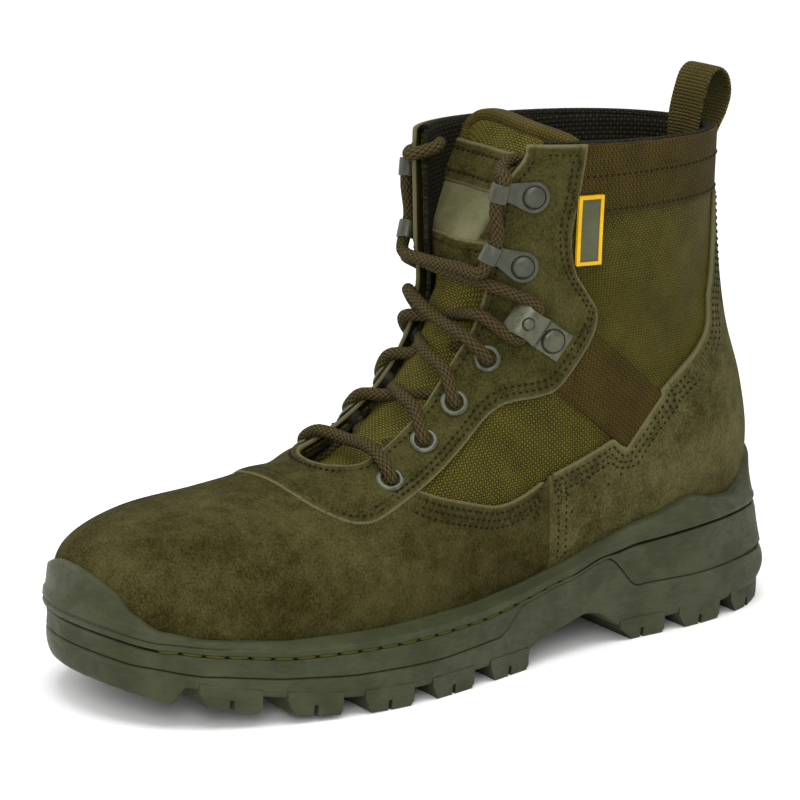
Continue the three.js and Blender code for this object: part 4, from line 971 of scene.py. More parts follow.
x = loopPoint[:, 0]
toeBlock = smooth(0.914, 0.93, x / boot["length"])
toeTip = smooth(0.93, 0.985, x / boot["length"])
channel, root = channelZ(x), rootZ(x) - 7.2 * toeBlock
parting = boot["heel"] * tableHeight(partingRows, x / boot["length"])
wing = smooth(0.505, 0.452, x / boot["length"]) * smooth(0.262, 0.318, x / boot["length"])
partLine = parting + (channel - 0.9 - parting) * wing
heelWeight = np.clip((0.2 * boot["length"] - x) / (0.17 * boot["length"]), 0, 1) ** 2
flare, heelTuck = 2.6 * heelWeight, 2.0 * heelWeight

midsole = Shell()
rise = channel - partLine
tuck = 1.4 * smooth(0.9, 0.99, x / boot["length"])
levels = [(partLine + 0.25, -2.0), (partLine + 0.25, -0.5 - tuck), (partLine + 0.25 + 0.05 * rise, -0.1 - tuck)]
levels += [(partLine + 0.3 + rise * s, -0.35 * math.sin(math.pi * s) + flare * (1 - s) * 0.5 - heelTuck * s - tuck)
           for s in np.linspace(0.1, 0.8, 8)]
levels += [(channel - 0.9 - 0.03 * rise, -0.1 - tuck - heelTuck), (channel - 0.7, -0.5 - tuck - heelTuck),
           (channel - 0.7, -4.5)]
start = midsole.grid(soleRings(levels), roll=True)
closeAcross(midsole, start, 0)
closeAcross(midsole, start + (len(levels) - 1) * soleStations, 0)
piece = finishMesh("midsoleFoam", midsole, midsoleLook, ["midsole"])
sharpen(piece)
print("midsole", len(piece.data.polygons))

outsole = Shell()
side = partLine - root
levels = [(root, -6.0), (root, -1.2 - flare - 2.6 * toeTip - tuck), (root + 0.6, -0.3 - 0.8 * flare - 2.3 * toeTip - tuck)]
levels += [(root + 0.6 + (side - 1.4) * s, flare * (0.95 * math.sin(math.pi * (s ** 0.8 * 0.85)) - 0.7 * (1 - s) ** 2)
            - 2.2 * toeTip * (1 - s) ** 3 - tuck) for s in np.linspace(0.08, 0.92, 12)]
levels += [(partLine - 0.5, 0.4 * flare - 0.1 - tuck), (partLine - 0.1, 0.4 * flare - 0.6 - tuck),
           (partLine - 0.1, -3.5)]
start = outsole.grid(soleRings(levels), roll=True)
closeAcross(outsole, start, 0)
closeAcross(outsole, start + (len(levels) - 1) * soleStations, 0)


def outlineY(x, outer):
    order = np.argsort(loopPoint[:soleStations // 2 + 1, 0])
    if outer:
        return np.interp(x, loopPoint[:soleStations // 2 + 1, 0][order], loopPoint[:soleStations // 2 + 1, 1][order])
    inner = np.vstack([loopPoint[soleStations // 2:], loopPoint[:1]])
    order = np.argsort(inner[:, 0])
    return np.interp(x, inner[order, 0], inner[order, 1])


# A lug: its side view profile with a sipe, carried from the middle of the tread out to the sole's edge
def addLug(shell, x0, x1, near, far, lean=2.6, notch=True, grow=0.0):
    middle = (x0 + x1) / 2
    px = [x0 + 0.2, x0 + 0.3, x0 + 1.2]
    pz = [2.5, 0.9, 0.0]
    if notch:
        px += [middle - 0.9, middle - 0.7, middle + 0.7, middle + 0.9]
        pz += [0.0, 1.8, 1.8, 0.0]
    px += [x1 - lean - 0.9, x1 - lean, x1]
    pz += [0.0, 0.7, 2.5]
    px, pz = np.array(px), np.array(pz)
    ground = springZ(px)
    top = springZ(np.array([x1, x0])) + 8.5
    px = np.concatenate([px, [x1, x0]])
    pz = np.concatenate([pz * 2.2 + ground, top])
    steps = 7
    rings = []
    for t in np.linspace(0, 1, steps):
        y = near(px) + (far(px) - near(px)) * t
        rings.append(np.stack([px, y, pz], -1))
    rings = np.array(rings)
    rings[-1, :-2, 1] += np.sign(far(middle) - near(middle)) * (grow - 0.5 * (pz[:-2] - ground < 1))
    rings[-1, -2:, 1] += np.sign(far(middle) - near(middle)) * grow
    start = shell.grid(rings, roll=True)
    count = len(px)
    shell.cap([start + i for i in range(count)][::-1])
    shell.cap([start + (steps - 1) * count + i for i in range(count)])


strip = 0.07 * boot["soleWidth"]
for i in range(5):
    x0 = 0.45 * boot["length"] + i * 29
    x1 = x0 + 20.5
    inset = 0.2
    addLug(outsole, x0, x1, lambda v: 0 * v + strip + 3, lambda v: outlineY(v, True) - inset, lean=1.8, grow=0.7)
    addLug(outsole, x0, x1, lambda v: 0 * v - strip - 3, lambda v: outlineY(v, False) + inset, lean=1.8, grow=0.7)
    if i < 4:
        addLug(outsole, x0 + 14.5, x0 + 32.5, lambda v: 0 * v - strip, lambda v: 0 * v + strip, notch=False)
for i in range(3):
    x1 = 0.292 * boot["length"] - i * 29
    x0 = max(x1 - 22, 1.5)
    wide = 0.4
    addLug(outsole, x0, x1, lambda v: 0 * v + strip + 1, lambda v: outlineY(v, True) - 0.2 + wide, lean=5.0 if i == 0 else 2.6)
    addLug(outsole, x0, x1, lambda v: 0 * v - strip - 1, lambda v: outlineY(v, False) + 0.2 - wide, lean=5.0 if i == 0 else 2.6)
piece = finishMesh("outsoleRubber", outsole, outsoleLook, ["outsole"], merge=0.001)
sharpen(piece, 30)
print("outsole", len(piece.data.polygons))


# Finds the place on the form that lies at a height in the upright plane through each station of the sole's loop
def towardsForm(heights):
    best = np.zeros((2,) + heights.shape)
    low = gridPoint[::3, ::2]
    lowAt, lowTurn = gridAt[::3, ::2], gridTurn[::3, ::2]
    for s in range(heights.shape[1]):
        centre, out = loopPoint[s], loopOut[s]
        off = low[..., :2] - centre
        reach = off @ out
        aside = off @ np.array([-out[1], out[0]])
        for k in range(heights.shape[0]):
            cost = aside ** 2 + (low[..., 2] - heights[k, s]) ** 2 + 1e6 * ((reach > 8) | (reach < -30))
            i = np.unravel_index(np.argmin(cost), cost.shape)
            best[:, k, s] = lowAt[i], lowTurn[i]
    at, turn = best
    for _ in range(6):
        def miss(a, t):
            p = formPoint(a, t)
            off = p[..., :2] - loopPoint
            return off[..., 0] * -loopOut[:, 1] + off[..., 1] * loopOut[:, 0], p[..., 2] - heights
        m0, m1 = miss(at, turn)
        a0, a1 = miss(at + 0.01, turn)
        t0, t1 = miss(at, turn + 0.01)
        j00, j01, j10, j11 = (a0 - m0) / 0.01, (t0 - m0) / 0.01, (a1 - m1) / 0.01, (t1 - m1) / 0.01
        det = j00 * j11 - j01 * j10
        det = np.where(np.abs(det) < 1e-3, 1e-3, det)
        at = np.clip(at - np.clip((j11 * m0 - j01 * m1) / det, -0.2, 0.2), 0.02, 18)
        turn = turn - np.clip((j00 * m1 - j10 * m0) / det, -0.2, 0.2)
    return at, turn


top = randTopZ(x)
spread = np.linspace(0, 1, 7)[:, None]
heights = channel + 1.0 + (top - channel - 1.0) * spread
skinAt, skinTurn = towardsForm(heights)
skinPoint = formPoint(skinAt, skinTurn)
reach = np.einsum("ksc,sc->ks", skinPoint[..., :2] - loopPoint, loopOut)
reach = np.minimum(reach, -0.6)
lift = np.interp(np.linspace(0, 1, 7), [0, 0.25, 0.8, 1], [1.0, 0.8, 0.25, 0])[:, None]
thick = 2.2
edgeOut = np.minimum(reach[-1] + thick, -0.2)
rand = Shell()
levels = [(channel + 0.1, -5.0), (channel + 0.1, -1.2 - heelTuck), (channel + 0.5, -0.5 - heelTuck),
          (channel + 1.6, -0.15 - heelTuck), (channel + 2.5, -0.35 - heelTuck), (channel + 2.8, -0.75 - heelTuck),
          (channel + 3.2, -0.8 - heelTuck)]
toeLedge = smooth(0.84, 0.93, x / boot["length"])
for s in np.linspace(0.06, 0.94, 17):
    z = channel + 3.0 + (top - channel - 3.0) * s
    body = np.array([np.interp(s, np.linspace(0, 1, 7), reach[:, i]) for i in range(soleStations)])
    grow = -0.8 - heelTuck + (edgeOut + 0.8 + heelTuck) * s ** 1.3
    step = 0.7 * toeLedge * smooth(7.4, 6.2, z - channel)
    levels.append((z, np.maximum(grow, body + 0.9) + step))
levels += [(top - 0.35, edgeOut - 0.15), (top, edgeOut - 0.7), (top, reach[-1] - 1.5)]
start = rand.grid(soleRings(levels), roll=True)
piece = finishMesh("randRubber", rand, randLook, ["rand"])
sharpen(piece, 40)
print("rand", len(piece.data.polygons))

# Welt thread lying in the groove between the rand and the midsole
dash = {"length": 7.2, "space": 1.0, "thick": 1.15, "from": 0.37, "to": 0.935}
groove = np.concatenate([loopPoint - loopOut * 0.95, (channel - 0.15)[:, None]], 1)
loopRun = lengthAlong(np.vstack([groove, groove[:1]]))
spots = np.arange(0, loopRun[-1] - dash["length"], dash["length"] + dash["space"])


def onGroove(distance):
    return np.stack([np.interp(distance, loopRun, np.append(groove[:, c], groove[0, c])) for c in range(3)], -1)


origin, onward = onGroove(spots), onGroove(spots + 1.0)
share = origin[:, 0] / boot["length"]
kept = (share > dash["from"]) & (share < dash["to"])
outward = np.stack([np.interp(spots, loopRun[:-1], loopOut[:, c]) for c in range(2)] + [0 * spots], -1)
weltThread = Shell()
addCopies(weltThread, stitchShape(dash["length"], dash["thick"], 0.35), origin[kept], unit(onward - origin)[kept],
          unit(outward)[kept])
finishMesh("weltStitches", weltThread, weltThreadLook)
# The tongue: a padded sheet with its own camber, flatter on the inner side near the top, its top falling to the outer
# side; pad's extra width on the inner side is set to nothing
pad = {"half": 3.2, "wide": 0.0, "flat": 0.9, "fall": 0.16, "corner": 0.34, "rows": 130, "turns": 88}


def tonguePoint(at, u, level):
    at, u, level = np.broadcast_arrays(np.asarray(at, float), np.asarray(u, float), np.asarray(level, float))
    row = np.interp(at, tongueRows[:, 0], np.arange(len(tongueRows)))
    values = splineRow(tongueRows, row)
    front, backPoint = formPoint(at, np.pi + 0 * at), formPoint(at, 0 * at)
    inwards = unit(backPoint - front)
    camber = values[..., 3] * (1 - pad["flat"] * smooth(-0.1, -0.7, u) * smooth(12.0, 15, at))
    inset = values[..., 1] * boot["length"] + camber * boot["upperWidth"] * u ** 2 - level
    half = values[..., 2] * (1 + pad["wide"] * smooth(10.5, 14, at) * smooth(0.1, -0.8, u))
    y = (splineRow(sectionRows, at)[..., 9] + u * half) * boot["upperWidth"]
    return np.stack([front[..., 0] + inwards[..., 0] * inset, y, front[..., 2] + inwards[..., 2] * inset], -1)


# The tongue's last section at each place across, with rounded corners
def tongueEnd(u):
    return 18.2 - pad["fall"] * smooth(-0.6, 1.1, u) - pad["corner"] * np.abs(u) ** 7


def tongueBulge(at, u):
    dimple = -2.2 * np.exp(-((at - 12.6) / 0.45) ** 2 - ((u + 0.25) / 0.22) ** 2)
    ridge = 1.5 * np.exp(-((at - 13.4) / 0.35) ** 2 - ((u + 0.2) / 0.5) ** 2)
    puffs = 0.7 * np.sin(at * 3.6 + 0.6) * smooth(6.5, 8, at) * smooth(13.5, 12, at)
    return (dimple + ridge + puffs) * (1 - np.abs(u) ** 4)


t = np.arange(pad["turns"]) * 2 * np.pi / pad["turns"]
cross = np.stack([np.sign(np.cos(t)) * np.abs(np.cos(t)) ** 0.45, np.sign(np.sin(t)) * np.abs(np.sin(t)) ** 0.7], -1)
v = np.linspace(0, 1, pad["rows"])[:, None]
across = cross[None, :, 0] + 0 * v
sections = 5.0 + (tongueEnd(across) - 5.0) * v
taper = np.sqrt(np.clip(1 - (np.clip(v - 0.975, 0, None) / 0.026) ** 2, 0.02, 1))
level = -pad["half"] + pad["half"] * cross[None, :, 1] * taper + tongueBulge(sections, across) * (cross[None, :, 1] > 0)
body = tonguePoint(sections, across, level)
run = np.concatenate([np.zeros((1, body.shape[1])), np.cumsum(np.linalg.norm(np.diff(body, axis=0), axis=-1), 0)])
padShell = Shell()
start = padShell.grid(body, uv=np.stack([body[..., 1], run], -1), roll=True)
padShell.cap(list(range(start, start + pad["turns"]))[::-1])
last = start + (pad["rows"] - 1) * pad["turns"]
for i in range(pad["turns"] // 2 - 1):
    a, b = last + i, last + i + 1
    c, d = last + pad["turns"] - i - 1, last + (pad["turns"] - i) % pad["turns"]
    padShell.cap([a, b, c] if i == 0 else [a, b, c, d])
piece = finishMesh("tonguePad", padShell, tongueLook, ["tongue"])
print("tongue", len(piece.data.polygons))


# A closed tube: rings of a section carried along a path, with both ends closed
def sweep(shell, path, aside, out, section, uv=None, **values):
    rings = path[:, None] + aside[:, None] * section[..., :1] + out[:, None] * section[..., 1:]
    start = shell.grid(rings, uv=uv, roll=True, **values)
    count = rings.shape[1]
    last = start + (len(rings) - 1) * count
    shell.cap(list(range(start, start + count))[::-1])
    shell.cap(range(last, last + count))
    return start


# A rounded rectangle as a section: a superellipse of some half width and half height
def flatSection(halfWidth, halfHeight, count=16, power=5.0):
    t = np.arange(count) * 2 * np.pi / count
    c, s = np.cos(t), np.sin(t)
    return np.stack([halfWidth * np.sign(c) * np.abs(c) ** (2 / power), halfHeight * np.sign(s) * np.abs(s) ** (2 / power)], -1)


# Ribbed binding folded over the tongue's sides and top
edgeU = np.concatenate([np.full(60, -1.0), np.linspace(-1, 1, 120)[1:-1], np.full(60, 1.0)])
edgeAt = np.concatenate([np.linspace(15.2, tongueEnd(-1.0), 60), tongueEnd(edgeU[60:-60]),
                         np.linspace(tongueEnd(1.0), 15.2, 60)])
rim = tonguePoint(edgeAt, edgeU, -pad["half"])
for _ in range(14):
    rim[1:-1] = (rim[:-2] + 2 * rim[1:-1] + rim[2:]) / 4
ahead = unit(np.gradient(rim, axis=0))
face = unit(tonguePoint(edgeAt, edgeU * 0.9, 1.0) - tonguePoint(edgeAt, edgeU * 0.9, 0.0))
outwards = unit(np.cross(face, ahead))
face = np.cross(ahead, outwards)
middle = tonguePoint(15.8, 0.0, -pad["half"])
outwards = outwards * np.sign(np.sum(outwards * (rim - middle), -1, keepdims=True))
tape = Shell()
run = lengthAlong(rim)
section = flatSection(2.5, pad["half"] + 0.55, 24, 3.2)
around = np.concatenate([[0], np.cumsum(np.linalg.norm(np.diff(section, axis=0), axis=1))])
sweep(tape, rim - outwards * 1.5, outwards, face, np.broadcast_to(section, (len(rim), 24, 2)),
      uv=np.stack(np.broadcast_arrays(around[None], run[:, None]), -1))
finishMesh("tongueBinding", tape, bindingLook)

# Suede cover in parts round a window, and a blank badge in the window
cover = {"low": 139, "high": 185, "sill": 154, "lintel": 170.6, "left": -1.03, "right": 0.97}
badge = {"low": 153.4, "high": 171.2, "left": -0.94, "right": 0.34}


# The section at which the tongue's face reaches a height, at some place across
def atHeight(u, z):
    u, z = np.broadcast_arrays(np.asarray(u, float), np.asarray(z, float))
    places, steps = np.linspace(-1.1, 1.1, 45), np.linspace(13.0, 18.3, 120)
    heights = tonguePoint(steps[:, None], places[None], 1.0)[..., 2]
    levels = np.linspace(z.min(), z.max() + 1e-3, 60)
    table = np.stack([np.interp(levels, heights[:, i], steps) for i in range(len(places))], 1)
    i = np.clip(np.searchsorted(places, u) - 1, 0, len(places) - 2)
    k = np.clip(np.searchsorted(levels, z) - 1, 0, len(levels) - 2)
    s, t = (u - places[i]) / (places[i + 1] - places[i]), (z - levels[k]) / (levels[k + 1] - levels[k])
    return ((table[k, i] * (1 - s) + table[k, i + 1] * s) * (1 - t)
            + (table[k + 1, i] * (1 - s) + table[k + 1, i + 1] * s) * t)


# A sheet on the tongue's face between two places across and two heights
def patch(shell, left, right, low, high, base, top, rowSeams=(), count=(44, 60), rounding=0.5):
    u = np.linspace(left, right, count[1])[None]
    z = np.linspace(low, high, count[0])[:, None]
    scale = 31.0
    edge = np.minimum(np.minimum((u - left) * scale, (right - u) * scale), np.minimum(z - low, high - z))
    seam = np.full(edge.shape, 20.0)
    for line in rowSeams:
        seam = np.minimum(seam, np.abs(z - line) + 0 * u)
    at = atHeight(u, z)
    lift = top - rounding * np.exp(-np.maximum(edge, 0) / 0.7)
    face = tonguePoint(at, u + 0 * z, lift + tongueBulge(at, u + 0 * z) * 0.5)
    under = tonguePoint(at, u + 0 * z, base)
    rows, cols = edge.shape
    uv = np.stack([u * scale + 0 * z, z + 0 * u], -1)
    a = shell.grid(face, uv=uv, edge=edge.ravel(), seam=seam.ravel())
    b = shell.grid(under, uv=uv, edge=edge.ravel(), seam=20.0)
    ring = np.concatenate([np.arange(cols), np.arange(1, rows) * cols + cols - 1,
                           (rows - 1) * cols + np.arange(cols - 2, -1, -1), np.arange(rows - 2, 0, -1) * cols])
    for i, j in zip(ring, np.roll(ring, -1)):
        shell.cap([a + j, a + i, b + i, b + j])


coverShell = Shell()
patch(coverShell, cover["left"], cover["right"], cover["lintel"], cover["high"], 0.1, 2.2, (174.2, 181.8))
patch(coverShell, cover["left"], cover["right"], cover["low"], cover["sill"], 0.1, 2.2, (142.0, 150.4))
patch(coverShell, cover["left"], badge["left"] - 0.01, cover["sill"] - 0.3, cover["lintel"] + 0.3, 0.1, 1.9, (), (30, 8))
patch(coverShell, badge["right"] + 0.01, cover["right"], cover["sill"] - 0.3, cover["lintel"] + 0.3, 0.1, 2.0, (), (30, 24))
finishMesh("tongueCover", coverShell, suedeLook, ["tongue_cover"])
badgeShell = Shell()
patch(badgeShell, badge["left"], badge["right"], badge["low"], badge["high"], 0.2, 1.6)
finishMesh("blankBadge", badgeShell, badgeLook, ["tongue_badge"])

coverThread = Shell()
for height in (174.2, 181.8, 150.4, 142.0):
    u = np.linspace(cover["left"] + 0.06, cover["right"] - 0.06, 300)
    path = tonguePoint(atHeight(u, height), u, 2.35)
    run = lengthAlong(path)
    spots = np.arange(1.5, run[-1] - 1, 3.1)
    origin, onward = (np.stack([np.interp(s, run, path[:, c]) for c in range(3)], -1) for s in (spots, spots + 0.4))
    beyond = np.stack([np.interp(spots, run, u), np.zeros(len(spots))], -1)
    outward = unit(tonguePoint(16.5, beyond[:, 0], 3.0) - tonguePoint(16.5, beyond[:, 0], 0.0))
    addCopies(coverThread, stitchShape(2.0, 0.5), origin, unit(onward - origin), outward)
finishMesh("coverStitches", coverThread, threadLook)
print("cover", len(coverShell.faces))

# Pull loop: webbing from inside the lining over the back of the collar, its ribs across
collarBack = formPoint(np.float64(18), np.float64(0))
loop = {"width": 18, "thick": 1.6, "rise": 20, "stand": 1.3}
insideX, outsideX, rimZ = collarBack[0] + 4.1 + 0.3 + 0.8 + loop["stand"], collarBack[0] - 1.4, collarBack[2]
loopPath = np.array([
    [insideX, rimZ - 16, 1], [insideX, rimZ - 6, 1], [insideX - 0.3, rimZ + 2, 0.9], [insideX - 1.6, rimZ + 10, 0.5],
    [insideX - 4, rimZ + 17.2, 0.25], [insideX - 8.2, rimZ + 20, 0.15], [insideX - 12.4, rimZ + 17, 0.2],
    [insideX - 14.2, rimZ + 10.4, 0.4], [insideX - 12.6, rimZ + 3.2, 0.7], [outsideX - 0.4, rimZ - 6, 1],
    [outsideX - 0.2, rimZ - 16, 1]])
fine = splineRow(loopPath, np.linspace(0, 10, 190))
run = lengthAlong(fine[:, :2])
ahead = unit(np.gradient(fine[:, :2], axis=0))
section = flatSection(loop["width"] / 2, loop["thick"] / 2, 40, 8.0)
scallop = 1 + 0.022 * np.abs(np.sin(np.pi * run / 1.3))[:, None]
y = section[None, :, 0] * scallop
side = section[None, :, 1] * (1 - 0.25 * np.abs(np.cos(np.pi * run / 1.3))[:, None])
curl = y ** 2 / 54 * fine[:, 2:3]
rings = np.stack([fine[:, :1] - ahead[:, 1:] * side + curl, y, fine[:, 1:2] + ahead[:, :1] * side], -1)
loopShell = Shell()
start = loopShell.grid(rings, uv=np.stack([y + 0 * run[:, None], run[:, None] + 0 * y], -1), roll=True)
loopShell.cap(list(range(start, start + 40))[::-1])
loopShell.cap(range(start + 189 * 40, start + 190 * 40))
finishMesh("pullLoop", loopShell, loopLook, ["pull_loop"])
low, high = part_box("pull_loop")
print("loop", np.round(np.array(low) * 1000, 1), np.round(np.array(high) * 1000, 1), toRow(rings).min((0, 1)), toRow(rings).max((0, 1)))
# The lining: a coarser skin inside the nylon, with a soft roll along the collar
def liningField(at, turn, point):
    return np.maximum(throatDepth(at, turn, point, 0.4), belowRand(point) - 2)


piece = finishMesh("liningCloth", panelShell(cutPanel(liningField, 2), -3.5, -5.4), liningLook)
print("lining", len(piece.data.polygons))


rollTurn = np.linspace(-np.pi, np.pi, 721)
open_ = throatDepth(18.0 + 0 * rollTurn, rollTurn, formPoint(18.0, rollTurn), 0.4) < -2.5
rollTurn = np.linspace(rollTurn[open_].min(), rollTurn[open_].max(), 150)
rollPoint, rollNormal = formPoint(18.0, rollTurn), formNormal(18.0 + 0 * rollTurn, rollTurn)
rollUp = unit(formPoint(18.4, rollTurn) - formPoint(17.8, rollTurn))
roll = Shell()
sweep(roll, rollPoint - rollNormal * 3.4 - rollUp * 0.9, rollNormal, rollUp,
      np.broadcast_to(flatSection(1.9, 1.5, 14, 2.4), (150, 14, 2)),
      uv=np.stack(np.broadcast_arrays(np.arange(14.0), lengthAlong(rollPoint)[:, None]), -1))
finishMesh("collarRoll", roll, liningLook)


# Where the side view's x and z meet the form, on the outer or the inner side
def sidePlace(x, z, outer=True):
    x, z = np.asarray(x, float), np.asarray(z, float)
    side = gridPoint[..., 1] > 5 if outer else gridPoint[..., 1] < -5
    at, turn = np.empty(x.shape), np.empty(x.shape)
    for k in np.ndindex(x.shape):
        cost = (gridPoint[..., 0] - x[k]) ** 2 + (gridPoint[..., 2] - z[k]) ** 2 + 1e6 * ~side
        i = np.unravel_index(np.argmin(cost), cost.shape)
        at[k], turn[k] = gridAt[i], gridTurn[i]
    for _ in range(5):
        p, a, b = formPoint(at, turn), formPoint(at + 0.01, turn), formPoint(at, turn + 0.01)
        e = np.stack([x - p[..., 0], z - p[..., 2]], -1)
        ja, jb = ((a - p) / 0.01)[..., [0, 2]], ((b - p) / 0.01)[..., [0, 2]]
        det = ja[..., 0] * jb[..., 1] - ja[..., 1] * jb[..., 0]
        at = at + (e[..., 0] * jb[..., 1] - e[..., 1] * jb[..., 0]) / det
        turn = turn + (ja[..., 0] * e[..., 1] - ja[..., 1] * e[..., 0]) / det
    return at, turn


# A plain tag with a raised border, sewn over the band's lower edge on the outer side
tag = {"x": 0.33 * boot["length"], "z": 147, "width": 10, "height": 26, "border": 1.3}


def tagPatch(shell, x0, x1, z0, z1, base, top, count=(20, 10)):
    x, z = np.meshgrid(np.linspace(x0, x1, count[1]), np.linspace(z0, z1, count[0]))
    at, turn = sidePlace(x, z)
    rows, cols = x.shape
    a = shell.grid(onForm(at, turn, top))
    b = shell.grid(onForm(at, turn, base))
    ring = np.concatenate([np.arange(cols), np.arange(1, rows) * cols + cols - 1,
                           (rows - 1) * cols + np.arange(cols - 2, -1, -1), np.arange(rows - 2, 0, -1) * cols])
    for i, j in zip(ring, np.roll(ring, -1)):
        shell.cap([a + j, a + i, b + i, b + j])


x0, z0, x1, z1, edge = tag["x"], tag["z"], tag["x"] + tag["width"], tag["z"] + tag["height"], tag["border"]
plate, border = Shell(), Shell()
tagPatch(plate, x0 + 0.4, x1 - 0.4, z0 + 0.4, z1 - 0.4, -0.2, 1.1)
for box in ((x0, x1, z0, z0 + edge), (x0, x1, z1 - edge, z1), (x0, x0 + edge, z0, z1), (x1 - edge, x1, z0, z1)):
    tagPatch(border, *box, 0.0, 1.5, (4 if box[3] - box[2] < 3 else 20, 10 if box[1] - box[0] > 3 else 4))
finishMesh("sideTag", plate, tagLook, ["side_tag"])
piece = finishMesh("tagBorder", border, borderLook, flat=True)
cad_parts["insole"].data.materials.clear()
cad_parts["insole"].data.materials.append(insoleLook)

# Pinholes behind the seam of the outer quarter, drawn as small dark discs on the suede: painted shade of the holes
vents = np.array([(96, 69), (102, 66), (93, 62), (99, 58), (112, 61), (87, 65), (110, 54)], float)
hole = Shell()
ventAt, ventTurn = sidePlace(vents[:, 0], vents[:, 1])
t = np.arange(10) * np.pi / 5
rings = [(0.62, 0.02), (0.5, 0.09), (0.02, 0.05)]
disc = np.concatenate([np.stack([r * np.cos(t), r * np.sin(t), h + 0 * t], -1) for r, h in rings])
j = np.arange(10)
discFaces = np.concatenate([np.stack([r * 10 + j, r * 10 + (j + 1) % 10, (r + 1) * 10 + (j + 1) % 10, (r + 1) * 10 + j], -1)
                            for r in range(2)])
centre = onForm(ventAt, ventTurn, 0.0)
addCopies(hole, (disc, discFaces), centre, unit(onForm(ventAt + 0.05, ventTurn, 0.0) - centre), formNormal(ventAt, ventTurn))
finishMesh("ventHoleShade", hole, threadLook)


# A fitting's own frame on the leather: x ahead towards the throat, y across, z outwards
def fitting(at, degrees, inner):
    turn = polarTurn(at, 360 - degrees if inner else degrees)
    beside = polarTurn(at, 360 - degrees - 3 if inner else degrees + 3)
    origin, normal = formPoint(at, turn), formNormal(np.float64(at), turn)
    ahead = unit(formPoint(at, beside) - origin)
    across = unit(np.cross(normal, ahead))
    return {"origin": origin, "x": np.cross(across, normal), "y": across, "z": normal}


def onFitting(place, x, y, z):
    x, y, z = np.broadcast_arrays(x, y, z)
    return (place["origin"] + x[..., None] * place["x"] + y[..., None] * place["y"] + z[..., None] * place["z"])


# A turned shape: a closed profile of radius and height, spun round the fitting's z
def spin(shell, place, profile, sides=40, x=0.0, y=0.0, **values):
    t = np.arange(sides) * 2 * np.pi / sides
    r, h = np.array(profile).T
    grid = onFitting(place, x + r[:, None] * np.cos(t), y + r[:, None] * np.sin(t), h[:, None] + 0 * t)
    return shell.grid(grid, roll=True, **values)


def dome(shell, place, radius, height, base, x=0.0, y=0.0, sides=32):
    bend = np.linspace(0, np.pi / 2, 9)
    profile = [(radius * 1.0, base - 0.6), (radius, base)]
    profile += [(radius * math.cos(b) ** 0.6 + 1e-4, base + height * math.sin(b)) for b in bend[1:-1]]
    profile += [(1e-3, base + height)]
    start = spin(shell, place, profile, sides, x, y)
    shell.cap(range(start, start + sides))


# A strip of metal bent along a path in the fitting's x-z plane, with a half width at each step
def bendStrip(shell, place, path, half, thick=1.1, power=6.0):
    path = np.array(path, float)
    ahead = unit(np.gradient(path, axis=0))
    up = np.stack([-ahead[:, 1], ahead[:, 0]], -1)
    section = np.array([flatSection(max(w, 0.02), thick / 2 * min(1, max(w, 0.2)), 20, power) for w in half])
    x = path[:, None, 0] + section[..., 1] * up[:, None, 0]
    z = path[:, None, 1] + section[..., 1] * up[:, None, 1]
    start = shell.grid(onFitting(place, x, section[..., 0], z), roll=True)
    count, last = section.shape[1], start + (len(path) - 1) * section.shape[1]
    shell.cap(list(range(start, start + count))[::-1])
    shell.cap(range(last, last + count))


# Painted shade: dark rings round the bases of the rivets and the lock's pin, where they meet the metal below
rivetShade = Shell()


def rivetShadeRing(place, radius, level, x=0.0):
    profile = [(radius - 0.3, level - 0.4), (radius + 0.42, level - 0.4), (radius + 0.42, level + 0.1), (radius - 0.3, level + 0.16)]
    spin(rivetShade, place, profile + profile[:1], 36, x)


